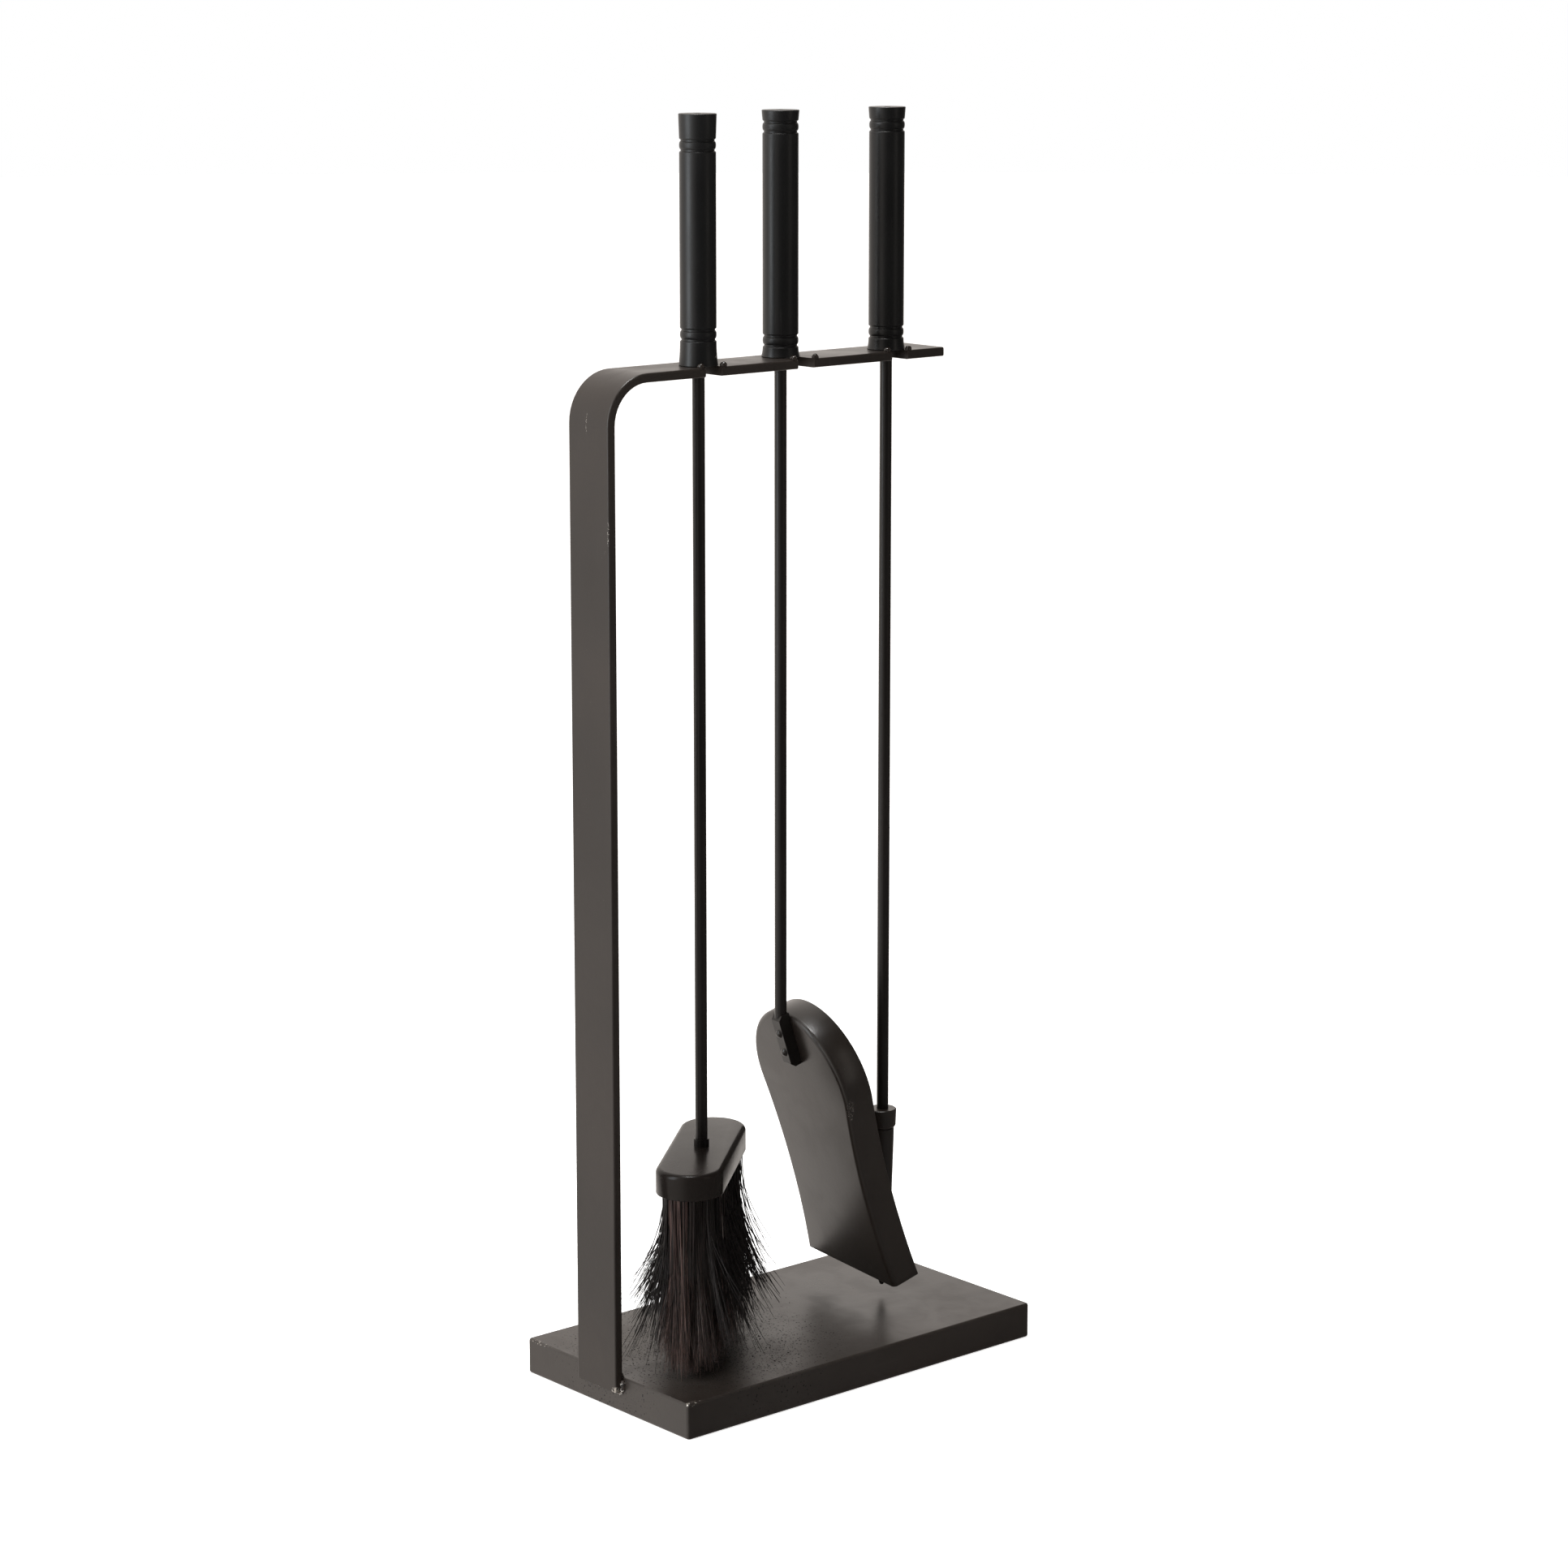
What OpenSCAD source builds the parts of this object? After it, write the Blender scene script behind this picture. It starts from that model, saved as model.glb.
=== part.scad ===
// Fireplace tool set: a heavy plate stand with one bent flat bar, and a brush, a shovel and a poker
// that hang by their handles in open slots along the bar's arm.
// Millimetres, +Z up. The origin is the middle of the base plate's underside; the bar rises at -X.

/* [Base plate] */
// Length of the base plate along X
base_l = 302; // [250:1:400]
// Width of the base plate along Y
base_w = 168; // [140:1:220]
// Thickness of the base plate
base_t = 24; // [16:1:40]
// Rounding of the plate's upright corners
base_corner_r = 1.6; // [1:0.2:6]
// Rounding of the plate's long and short edges
base_edge_r = 1.6; // [1:0.2:3]

/* [Bent bar] */
// Width of the flat bar
bar_w = 40; // [34:1:50]
// Thickness of the flat bar
bar_t = 6; // [4:0.5:8]
// Rounding of the bar's rolled edges
bar_edge_r = 1.3; // [0.5:0.1:1.8]
// Height of the arm's top face above the ground
arm_top_z = 674; // [520:1:840]
// Inside radius of the bend
bend_r = 26; // [18:1:60]
// How far the arm reaches along X, from the outside of the upright
arm_reach = 283.5; // [270:0.5:340]
// How far the bar's foot laps down the end of the base plate
foot_lap = 9; // [6:0.5:14]
// How far the bar sits behind the plate's centre line
bar_setback = 2.5; // [0:0.5:8]

/* [Slots] */
// Width of each slot
slot_w = 14; // [12:0.5:18]
// Depth of each slot from the bar's front edge
slot_depth = 29.5; // [28:0.5:32]
// Centre of the brush's slot
brush_slot_x = -71; // [-85:1:-60]
// Centre of the shovel's slot
shovel_slot_x = 6; // [-5:0.5:15]
// Centre of the poker's slot
poker_slot_x = 87.5; // [75:0.5:100]
// Radius of the stop beads beside each slot's mouth
stop_r = 2.2; // [1.5:0.1:2.6]
// How far a stop bead's centre lies in from the edges of the bar and the slot
stop_inset = 2.2; // [1.8:0.1:2.8]

/* [Handles and rods] */
// Diameter of the three rods
rod_d = 8; // [6:0.5:9]
// Length of each handle
handle_l = 158; // [120:1:200]
// Diameter of a handle's long middle stretch
handle_d = 23.2; // [20:0.2:25]
// Diameter at a handle's foot, where it rests on the arm
handle_foot_d = 25; // [24:0.2:25.2]
// Diameter at the rim of a handle's top
handle_top_d = 24.2; // [20:0.2:26]
// Width of the bead between each pair of grooves
handle_bead_w = 5; // [3:0.5:8]
// Width of each groove
groove_w = 1.2; // [0.8:0.2:2]
// Depth of each groove
groove_depth = 0.9; // [0.4:0.1:1.5]
// Length of the plain ends of the brush's handle
brush_end_l = 16; // [6:0.5:24]
// Length of the plain ends of the shovel's handle
shovel_end_l = 7; // [6:0.5:24]
// Length of the plain ends of the poker's handle
poker_end_l = 8; // [6:0.5:24]
// Diameter of the locking screw in a handle's top
lock_screw_d = 5; // [4:0.5:6]
// Length of the locking screw
lock_screw_l = 12; // [8:1:20]
// How deep the locking screw sits below the handle's top
lock_screw_sink = 2.5; // [1:0.5:5]

/* [Brush] */
// Length of the brush head
head_l = 138; // [110:1:160]
// Width of the brush head
head_w = 44; // [36:1:50]
// Height of the brush head's metal cap
head_h = 17; // [12:0.5:26]
// Height of the cap's top above the ground
head_top_z = 161; // [120:1:220]
// Turn of the brush head about its rod
head_turn = 41; // [0:1:60]
// Rounding of the cap's top edge
cap_edge_r = 3; // [1:0.5:5]
// Sheet thickness of the cap
cap_t = 1.8; // [1.2:0.2:3]
// Clear height between the bristle tips and the base plate
bristle_gap = 4; // [1:0.5:20]
// How far the bristle pack is set in from the cap's edge
bristle_inset = 3.5; // [2:0.5:6]
// How far the bristles spread at their tips, each side
bristle_spread = 7; // [0:0.5:12]
// Diameter of the ring where the rod meets the cap
collar_d = 10; // [9:0.2:14]
// Height of that ring
collar_h = 5; // [3:0.5:8]

/* [Shovel] */
// Length of the pan from the top of its arch to its mouth
pan_l = 198; // [160:1:230]
// Radius of the pan's round top
pan_arch_r = 52; // [44:1:60]
// Half the pan's width at its waist
pan_waist = 45; // [36:1:50]
// Distance of the waist from the top of the arch
pan_waist_v = 130; // [110:1:150]
// Height of the pan's wall
pan_depth = 21; // [15:0.5:30]
// Sheet thickness of the pan
pan_t = 1.5; // [1:0.1:3]
// Tilt of the pan from upright
pan_tilt = 17.5; // [5:0.5:24]
// Turn of the pan about its rod
pan_turn = -6.5; // [-20:0.5:20]
// How far the pan leans to one side in its own plane
pan_lean = 1.4; // [-3:0.1:3]
// How far the pan sits to one side of its rod
pan_offset = 2.9; // [-3:0.1:3]
// Height above the ground of the point where rod and pan meet
pan_top_z = 232.5; // [190:0.5:300]
// Side of the squared foot that is riveted to the pan
tab_w = 9; // [7:0.5:12]
// Length of the squared foot
tab_l = 35; // [32:1:60]
// Diameter of a rivet's shank
rivet_d = 4; // [3:0.5:5]
// Diameter of a rivet's head
rivet_head_d = 6; // [5:0.5:8]
// Distance of the upper rivet from the rod's bend
rivet_drop = 10; // [8:0.5:14]
// Distance between the two rivets
rivet_pitch = 14; // [10:0.5:18]

/* [Poker] */
// Diameter at the rim of the poker's point
point_rim_d = 19; // [14:0.5:24]
// Diameter of the point's body below the rim
point_body_d = 16; // [12:0.5:20]
// Length of the point's rim
point_rim_l = 12.5; // [8:0.5:20]
// Whole length of the point
point_l = 126; // [80:1:150]
// Clear height between the tip and the base plate
point_gap = 6; // [4:1:40]
// Depth of the socket that takes the rod
point_socket = 30; // [15:1:45]

/* [Hang] */
// Where the brush's rod rests in its slot, from the slot's centre, along X
brush_hang_x = -0.4; // [-1.5:0.1:1.5]
// Where the brush's rod rests in front of the bar's middle
brush_hang_y = 4.5; // [2:0.1:5]
// Where the shovel's rod rests in its slot, from the slot's centre, along X
shovel_hang_x = -1.8; // [-1.8:0.1:1.8]
// Where the shovel's rod rests in front of the bar's middle
shovel_hang_y = -3.5; // [-3.5:0.1:5]
// Where the poker's rod rests in its slot, from the slot's centre, along X
poker_hang_x = 1.3; // [-1.5:0.1:1.5]
// Where the poker's rod rests in front of the bar's middle
poker_hang_y = 4.7; // [2:0.1:5]
// Radial clearance between a rod or screw and its hole
fit_gap = 0.05; // [0.02:0.01:0.2]

/* [Hidden] */
$fn = 64;
// Names of the stop beads' slots and sides, in the order they are drawn
SLOTS = ["brush", "shovel", "poker"];
SIDES = ["left", "right"];
STOP_NODES = [for (slot = SLOTS) for (side = SIDES) str("stop_bead_", slot, "_", side)];

// A hair's breadth by which a cutting tool passes the face it cuts
cut = 1;
steel_black = [0.09, 0.085, 0.08];
handle_black = [0.05, 0.05, 0.055];
screw_grey = [0.25, 0.25, 0.26];
weld_brown = [0.16, 0.13, 0.12];
stock_brown = [0.25, 0.18, 0.12];
hair_brown = [0.12, 0.08, 0.06];

// The bar
bar_outer_x = -base_l / 2 - bar_t;
bar_inner_x = -base_l / 2;
bar_front_y = bar_setback - bar_w / 2;
foot_z = base_t - foot_lap;
arm_bottom_z = arm_top_z - bar_t;
arm_end_x = bar_outer_x + arm_reach;
bend_axis_x = bar_inner_x + bend_r;
bend_axis_z = arm_bottom_z - bend_r;
slot_end_y = bar_front_y + slot_depth - slot_w / 2;
slot_centres = [brush_slot_x, shovel_slot_x, poker_slot_x];
weld_leg = 3;
// How much of a stop bead's ball stands above its own centre plane's foot
stop_sink = 0.6;

// The rods' axes
brush_x = brush_slot_x + brush_hang_x;
brush_y = bar_setback - brush_hang_y;
shovel_x = shovel_slot_x + shovel_hang_x;
shovel_y = bar_setback - shovel_hang_y;
poker_x = poker_slot_x + poker_hang_x;
poker_y = bar_setback - poker_hang_y;

// The handles stand on the arm
handle_top_z = arm_top_z + handle_l;
rod_top_z = handle_top_z - lock_screw_sink - lock_screw_l;
hex_key_d = lock_screw_d * 0.5;
hex_key_depth = 2.5;
rod_hole_d = rod_d + 2 * fit_gap;
screw_hole_d = lock_screw_d + 2 * fit_gap;
handle_rim_r = 0.5;
shoulder = 1;
bead_shoulder = handle_bead_w * 0.46;

// The brush
head_bottom_z = head_top_z - head_h;
head_roof_z = head_top_z - cap_t;
stock_gap = 0.1;
nut_across = 13;
nut_h = 4;
nut_pocket_d = 17;
nut_room = 1;
brush_rod_end_z = head_roof_z - nut_h - nut_room / 2;
bristle_tip_z = base_t + bristle_gap;
bristle_wide_z = bristle_tip_z + 32;

// The shovel: the side of the pan is an arc that runs smoothly out of the round top
waist_drop = pan_waist_v - pan_arch_r;
pan_side_r = (pow(pan_waist, 2) + pow(waist_drop, 2) - pow(pan_arch_r, 2)) / (2 * (pan_arch_r - pan_waist));
pan_side_x = pan_waist + pan_side_r;
arch_steps = 48;
side_steps = 14;
floor_x = tab_w / 2;
tab_rise = 3;
tab_chamfer = 3;
rivet_head_h = 2;
rivet_tail_h = 1.4;

// The poker's point
point_tip_z = base_t + point_gap;
point_top_z = point_tip_z + point_l;
point_groove_w = 1.4;
point_groove_depth = 0.8;
point_body_l = point_l - point_rim_l - point_groove_w;
point_taper = 0.36;
point_steps = 14;

// ---------- shared shapes ----------

// A rectangle with round corners, centred
module round_rect(w, h, r) {
    square([w - 2 * r, h], center = true);
    square([w, h - 2 * r], center = true);
    for (x = [-1, 1]) for (y = [-1, 1])
        translate([x * (w / 2 - r), y * (h / 2 - r)]) circle(r = r);
}

// A slab whose ends are half circles, centred, standing on z = 0
module obround(l, w, h) {
    linear_extrude(h) {
        square([l - w, w], center = true);
        for (x = [-1, 1]) translate([x * (l - w) / 2, 0]) circle(d = w);
    }
}

// Half of a lid's section: square below, rounded at its top outer corner
module lid_section(half_w, h, r) {
    square([half_w, h - r]);
    square([half_w - r, h]);
    translate([half_w - r, h - r]) circle(r = r);
}

// An obround slab with a rounded top edge
module obround_lid(l, w, h, r) {
    for (side = [0, 180])
        rotate([0, 0, side]) translate([(l - w) / 2, 0, 0]) rotate([0, 0, -90])
            rotate_extrude(angle = 180) lid_section(w / 2, h, r);
    rotate([90, 0, 90]) translate([0, 0, -(l - w) / 2]) linear_extrude(l - w) {
        lid_section(w / 2, h, r);
        mirror([1, 0]) lid_section(w / 2, h, r);
    }
}

// One stretch of a turned outline between two grooves: its ends curve in by groove_depth
function turned(z0, z1, r0, r1, s) = concat(
    [for (t = [0:15:90]) [r0 - groove_depth * (1 - sin(t)), z0 + s * (1 - cos(t))]],
    [for (t = [90:-15:0]) [r1 - groove_depth * (1 - sin(t)), z1 - s * (1 - cos(t))]]
);

// The concave flare of a handle's foot, from the arm up to the first groove
function flare(end_l) = [for (i = [0:8]) let (s = i / 8)
    [handle_d / 2 + (handle_foot_d - handle_d) / 2 * pow(1 - s, 2), handle_rim_r + s * (end_l - handle_rim_r - shoulder)]];

// A handle's outline, from its foot to its rim
function handle_outline(end_l) = let (
        r = handle_d / 2,
        bead_0 = end_l + groove_w,
        body_0 = bead_0 + handle_bead_w + groove_w,
        body_1 = handle_l - body_0,
        bead_1 = body_1 + groove_w,
        top_0 = handle_l - end_l
    ) concat(
        [[0, 0], [handle_foot_d / 2 - handle_rim_r, 0]],
        flare(end_l),
        [for (t = [75:-15:0]) [r - groove_depth * (1 - sin(t)), end_l - shoulder * (1 - cos(t))]],
        turned(bead_0, bead_0 + handle_bead_w, r, r, bead_shoulder),
        turned(body_0, body_1, r, r, shoulder),
        turned(bead_1, bead_1 + handle_bead_w, r, r, bead_shoulder),
        [for (t = [0:15:90]) [r - groove_depth * (1 - sin(t)), top_0 + shoulder * (1 - cos(t))]],
        [[handle_top_d / 2, handle_l - handle_rim_r], [handle_top_d / 2 - handle_rim_r, handle_l], [0, handle_l]]
    );

// A handle turned from solid bar, drilled for its rod and its locking screw
module handle(x, y, end_l) {
    color(handle_black) translate([x, y, arm_top_z]) difference() {
        rotate_extrude() polygon(handle_outline(end_l));
        translate([0, 0, -cut]) cylinder(d = rod_hole_d, h = rod_top_z - arm_top_z + cut);
        cylinder(d = screw_hole_d, h = handle_l + cut);
    }
}

// A headless screw with a hexagon socket, sunk into a handle's top onto the rod's end
module lock_screw(x, y) {
    color(screw_grey) translate([x, y, rod_top_z]) difference() {
        cylinder(d = lock_screw_d, h = lock_screw_l);
        translate([0, 0, lock_screw_l - hex_key_depth]) cylinder(d = hex_key_d, h = hex_key_depth + cut, $fn = 6);
    }
}

// A straight round rod from the height z up into its handle
module rod(x, y, z) {
    color(steel_black) translate([x, y, z]) cylinder(d = rod_d, h = rod_top_z - z);
}

// ---------- stand ----------

// A solid slab with every edge rounded
module base_plate() {
    color(steel_black) intersection() {
        linear_extrude(base_t) round_rect(base_l, base_w, base_corner_r);
        translate([-base_l / 2, 0, base_t / 2]) rotate([90, 0, 90])
            linear_extrude(base_l) round_rect(base_w, base_t, base_edge_r);
        translate([0, base_w / 2, base_t / 2]) rotate([90, 0, 0])
            linear_extrude(base_w) round_rect(base_l, base_t, base_edge_r);
    }
}

// The cut that leaves one slot open to the arm's front edge
module slot(x) {
    translate([x, slot_end_y, arm_bottom_z - cut]) {
        cylinder(d = slot_w, h = bar_t + 2 * cut);
        translate([-slot_w / 2, -slot_depth, 0]) cube([slot_w, slot_depth, bar_t + 2 * cut]);
    }
}

// One flat bar: upright, bend and slotted arm
module stand_bar() {
    upright_l = bend_axis_z - foot_z;
    arm_l = arm_end_x - bend_axis_x;
    color(steel_black) translate([0, bar_setback, 0]) {
        translate([bar_inner_x - bar_t / 2, 0, foot_z]) linear_extrude(upright_l)
            round_rect(bar_t, bar_w, bar_edge_r);
        translate([bend_axis_x, 0, bend_axis_z]) rotate([90, 0, 0]) rotate([0, 0, 90])
            rotate_extrude(angle = 90) translate([bend_r + bar_t / 2, 0]) round_rect(bar_t, bar_w, bar_edge_r);
        difference() {
            translate([bend_axis_x, 0, arm_top_z - bar_t / 2]) rotate([90, 0, 90]) linear_extrude(arm_l)
                round_rect(bar_w, bar_t, bar_edge_r);
            translate([0, -bar_setback, 0]) for (x = slot_centres) slot(x);
        }
    }
}

// Fillet welds round the foot of the bar: below it, up both sides and along the plate's top
module foot_weld() {
    side_h = foot_lap - base_edge_r;
    color(weld_brown) translate([bar_inner_x, bar_setback, 0]) {
        translate([0, bar_w / 2, foot_z]) rotate([90, 0, 0]) linear_extrude(bar_w)
            polygon([[0, 0], [-weld_leg, 0], [0, -weld_leg]]);
        for (side = [0, 1]) mirror([0, side, 0]) translate([0, bar_w / 2, foot_z]) linear_extrude(side_h)
            polygon([[0, 0], [-weld_leg, 0], [0, weld_leg]]);
        translate([0, bar_w / 2, base_t]) rotate([90, 0, 0]) linear_extrude(bar_w)
            polygon([[0, 0], [weld_leg, 0], [0, weld_leg]]);
    }
}

// A round bead on the arm beside a slot's mouth; it keeps a handle from sliding off
module stop_bead(slot_x, side) {
    x = slot_x + side * (slot_w / 2 + stop_inset);
    color(steel_black) translate([x, bar_front_y + stop_inset, arm_top_z]) intersection() {
        translate([0, 0, stop_sink]) sphere(r = stop_r);
        translate([-stop_r, -stop_r, 0]) cube(2 * stop_r + stop_sink);
    }
}

// ---------- brush ----------

// Places a brush head's piece: its long axis is turned about the rod
module at_brush(z) {
    translate([brush_x, brush_y, z]) rotate([0, 0, head_turn]) children();
}

// The ring where the rod enters the cap
module brush_collar() {
    color(steel_black) at_brush(head_top_z) difference() {
        cylinder(d = collar_d, h = collar_h);
        translate([0, 0, -cut]) cylinder(d = rod_hole_d, h = collar_h + 2 * cut);
    }
}

// The pressed metal cap over the stock
module brush_cap() {
    color(steel_black) at_brush(head_bottom_z) difference() {
        obround_lid(head_l, head_w, head_h, cap_edge_r);
        translate([0, 0, -cut]) obround(head_l - 2 * cap_t, head_w - 2 * cap_t, head_h - cap_t + cut);
        cylinder(d = rod_hole_d, h = head_h + cut);
    }
}

// The stock that holds the bristles, with room for the nut
module brush_stock() {
    stock_h = head_h - cap_t - stock_gap;
    color(stock_brown) at_brush(head_bottom_z) difference() {
        obround(head_l - 2 * cap_t - 2 * stock_gap, head_w - 2 * cap_t - 2 * stock_gap, stock_h);
        translate([0, 0, stock_h - nut_h - nut_room]) cylinder(d = nut_pocket_d, h = nut_h + nut_room + cut);
    }
}

// The nut that clamps the cap to the rod
module brush_nut() {
    color(screw_grey) at_brush(head_roof_z - nut_h) difference() {
        cylinder(d = nut_across / cos(30), h = nut_h, $fn = 6);
        translate([0, 0, -cut]) cylinder(d = rod_hole_d, h = nut_h + 2 * cut);
    }
}

// The bristles as one pack, spreading a little and rounded off at their tips
module bristles() {
    l = head_l - 2 * bristle_inset;
    w = head_w - 2 * bristle_inset;
    color(hair_brown) at_brush(0) hull() {
        translate([0, 0, head_bottom_z - 1]) obround(l, w, 1, $fn = 32);
        translate([0, 0, bristle_wide_z]) obround(l + 2 * bristle_spread, w + 2 * bristle_spread, 1, $fn = 32);
        translate([0, 0, bristle_tip_z]) obround(l - bristle_spread, w - bristle_spread, 1, $fn = 32);
    }
}

// ---------- shovel ----------

// Places a shovel piece: +X into the pan, +Z up along it, the rod's bend at the origin
module at_pan() {
    translate([shovel_x, shovel_y, pan_top_z]) rotate([0, 0, pan_turn]) rotate([0, -pan_tilt, 0]) children();
}

// Points along an arc about (x, y)
function arc(x, y, r, from, to, steps) = [for (i = [0:steps])
    let (t = from + (to - from) * i / steps) [x + r * cos(t), y + r * sin(t)]];

// The pan's outline: a round top, then sides that draw in to a waist and flare out to the mouth.
// It can be drawn in by a wall's thickness, and run on past the mouth.
module pan_outline(inset, run_on) {
    arch_r = pan_arch_r - inset;
    side_r = pan_side_r + inset;
    join_turn = atan2(waist_drop, pan_side_x);
    mouth_turn = asin((pan_l + run_on - pan_waist_v) / side_r);
    step = (180 + 2 * join_turn) / arch_steps;
    polygon(concat(
        arc(pan_side_x, -pan_waist_v, side_r, 180 + mouth_turn, 180 - join_turn, side_steps),
        arc(0, -pan_arch_r, arch_r, step - join_turn, 180 + join_turn - step, arch_steps - 2),
        arc(-pan_side_x, -pan_waist_v, side_r, join_turn, -mouth_turn, side_steps)
    ));
}

// A rivet's hole, across the foot and the pan's floor
module rivet_hole(index) {
    translate([0, 0, -rivet_drop - index * rivet_pitch]) rotate([0, 90, 0])
        cylinder(d = rivet_d + 2 * fit_gap, h = 2 * (tab_w + pan_t), center = true);
}

// A tray of sheet steel, open at its mouth
module shovel_pan() {
    color(steel_black) at_pan() difference() {
        translate([floor_x, pan_offset, 0]) rotate([pan_lean, 0, 0]) rotate([90, 0, 90]) difference() {
            linear_extrude(pan_depth) pan_outline(0, 0);
            translate([0, 0, pan_t]) linear_extrude(pan_depth) pan_outline(pan_t, cut);
        }
        for (index = [0, 1]) rivet_hole(index);
    }
}

// The rod and its squared foot, bent to lie along the pan's floor
module shovel_rod() {
    rod(shovel_x, shovel_y, pan_top_z);
    color(steel_black) at_pan() difference() {
        translate([0, tab_w / 2, 0]) rotate([90, 0, 0]) linear_extrude(tab_w) polygon([
            [-tab_w / 2, tab_rise - tab_chamfer], [-tab_w / 2 + tab_chamfer, tab_rise], [tab_w / 2, tab_rise],
            [tab_w / 2, -tab_l], [-tab_w / 2 + tab_chamfer, -tab_l], [-tab_w / 2, -tab_l + tab_chamfer]
        ]);
        for (index = [0, 1]) rivet_hole(index);
    }
}

// A rivet: a domed head on the foot, a shank, and a flattened tail inside the pan
module shovel_rivet(index) {
    dome_r = (pow(rivet_head_d / 2, 2) + pow(rivet_head_h, 2)) / (2 * rivet_head_h);
    color(screw_grey) at_pan() translate([0, 0, -rivet_drop - index * rivet_pitch]) rotate([0, 90, 0]) {
        translate([0, 0, -tab_w / 2]) cylinder(d = rivet_d, h = tab_w + pan_t);
        translate([0, 0, floor_x + pan_t]) cylinder(d = rivet_head_d, h = rivet_tail_h);
        translate([0, 0, -tab_w / 2]) intersection() {
            translate([0, 0, dome_r - rivet_head_h]) sphere(r = dome_r);
            translate([0, 0, -rivet_head_h]) cylinder(d = rivet_head_d, h = rivet_head_h);
        }
    }
}

// ---------- poker ----------

// The turned point, with a rimmed socket for the rod
module poker_point() {
    body_r = point_body_d / 2;
    rim_r = point_rim_d / 2;
    rim_z = point_l - point_rim_l;
    color(steel_black) translate([poker_x, poker_y, point_tip_z]) difference() {
        rotate_extrude() polygon(concat(
            [for (i = [0:point_steps]) let (s = pow(i / point_steps, 2)) [body_r * pow(s, point_taper), point_body_l * s]],
            [[body_r - point_groove_depth, point_body_l], [body_r - point_groove_depth, rim_z]],
            [[rim_r - 1, rim_z], [rim_r - 0.4, rim_z + 1], [rim_r, point_l - 0.6], [rim_r - 0.6, point_l], [0, point_l]]
        ));
        translate([0, 0, point_l - point_socket]) cylinder(d = rod_hole_d, h = point_socket + cut);
    }
}

// ---------- nodes ----------

base_plate();
stand_bar();
foot_weld();
for (i = [0:2]) for (j = [0:1])
    stop_bead(slot_centres[i], 2 * j - 1);

handle(brush_x, brush_y, brush_end_l);  // brush_handle
lock_screw(brush_x, brush_y);  // brush_lock_screw
rod(brush_x, brush_y, brush_rod_end_z);  // brush_rod
brush_collar();
brush_cap();
brush_stock();
brush_nut();
bristles();

handle(shovel_x, shovel_y, shovel_end_l);  // shovel_handle
lock_screw(shovel_x, shovel_y);  // shovel_lock_screw
shovel_rod();
shovel_pan();
shovel_rivet(0);  // shovel_rivet_upper
shovel_rivet(1);  // shovel_rivet_lower

handle(poker_x, poker_y, poker_end_l);  // poker_handle
lock_screw(poker_x, poker_y);  // poker_lock_screw
rod(poker_x, poker_y, point_top_z - point_socket);  // poker_rod
poker_point();
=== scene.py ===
"""Looks of a black fireplace tool set: a stand with a slotted arm, a brush, a shovel and a poker."""
import logging
import math
import random
from dataclasses import dataclass, field
from enum import Enum
from functools import cache
from typing import Protocol

import bmesh
import bpy
from mathutils import Matrix, Vector, noise


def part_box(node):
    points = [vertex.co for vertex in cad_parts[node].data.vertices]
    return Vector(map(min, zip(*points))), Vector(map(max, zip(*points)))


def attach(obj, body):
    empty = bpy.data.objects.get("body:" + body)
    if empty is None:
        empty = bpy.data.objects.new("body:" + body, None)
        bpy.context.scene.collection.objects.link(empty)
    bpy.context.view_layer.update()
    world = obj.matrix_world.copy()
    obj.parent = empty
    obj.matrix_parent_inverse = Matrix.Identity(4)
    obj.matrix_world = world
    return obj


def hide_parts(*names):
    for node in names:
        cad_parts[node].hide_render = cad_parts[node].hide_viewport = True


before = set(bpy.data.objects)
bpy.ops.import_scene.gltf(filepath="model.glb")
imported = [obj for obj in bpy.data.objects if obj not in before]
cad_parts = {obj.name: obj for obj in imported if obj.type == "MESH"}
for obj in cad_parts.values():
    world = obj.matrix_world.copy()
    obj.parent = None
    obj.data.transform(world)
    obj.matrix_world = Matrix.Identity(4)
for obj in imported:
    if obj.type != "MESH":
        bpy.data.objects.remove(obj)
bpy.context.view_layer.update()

log = logging.getLogger("tool_set")

Vec = tuple[float, float, float]
Colour = tuple[float, float, float]
TubePath = list[tuple[Vector, float]]

MM = 0.001

# The sockets that the Mix node uses for colours
MIX_FACTOR, MIX_FIRST, MIX_SECOND, MIX_RESULT = 0, 6, 7, 2


class Body(Enum):
    """The bodies that pieces ride on."""

    STAND = "stand"
    BRUSH = "brush"
    SHOVEL = "shovel"
    POKER = "poker"


class Slot(Enum):
    """The record's material slots that new pieces stand for."""

    BAR = "bar_black"
    PLATE = "plate_black"
    WELD = "weld_black"
    CAP = "cap_black"
    PAN = "pan_black"
    BRISTLE = "bristle_hair"
    HANDLE = "handle_black"


class Blend(Enum):
    """How a mask changes between its two limits."""

    LINEAR = "LINEAR"
    SMOOTH = "SMOOTHSTEP"


# ---------- shader arithmetic ----------


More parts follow.
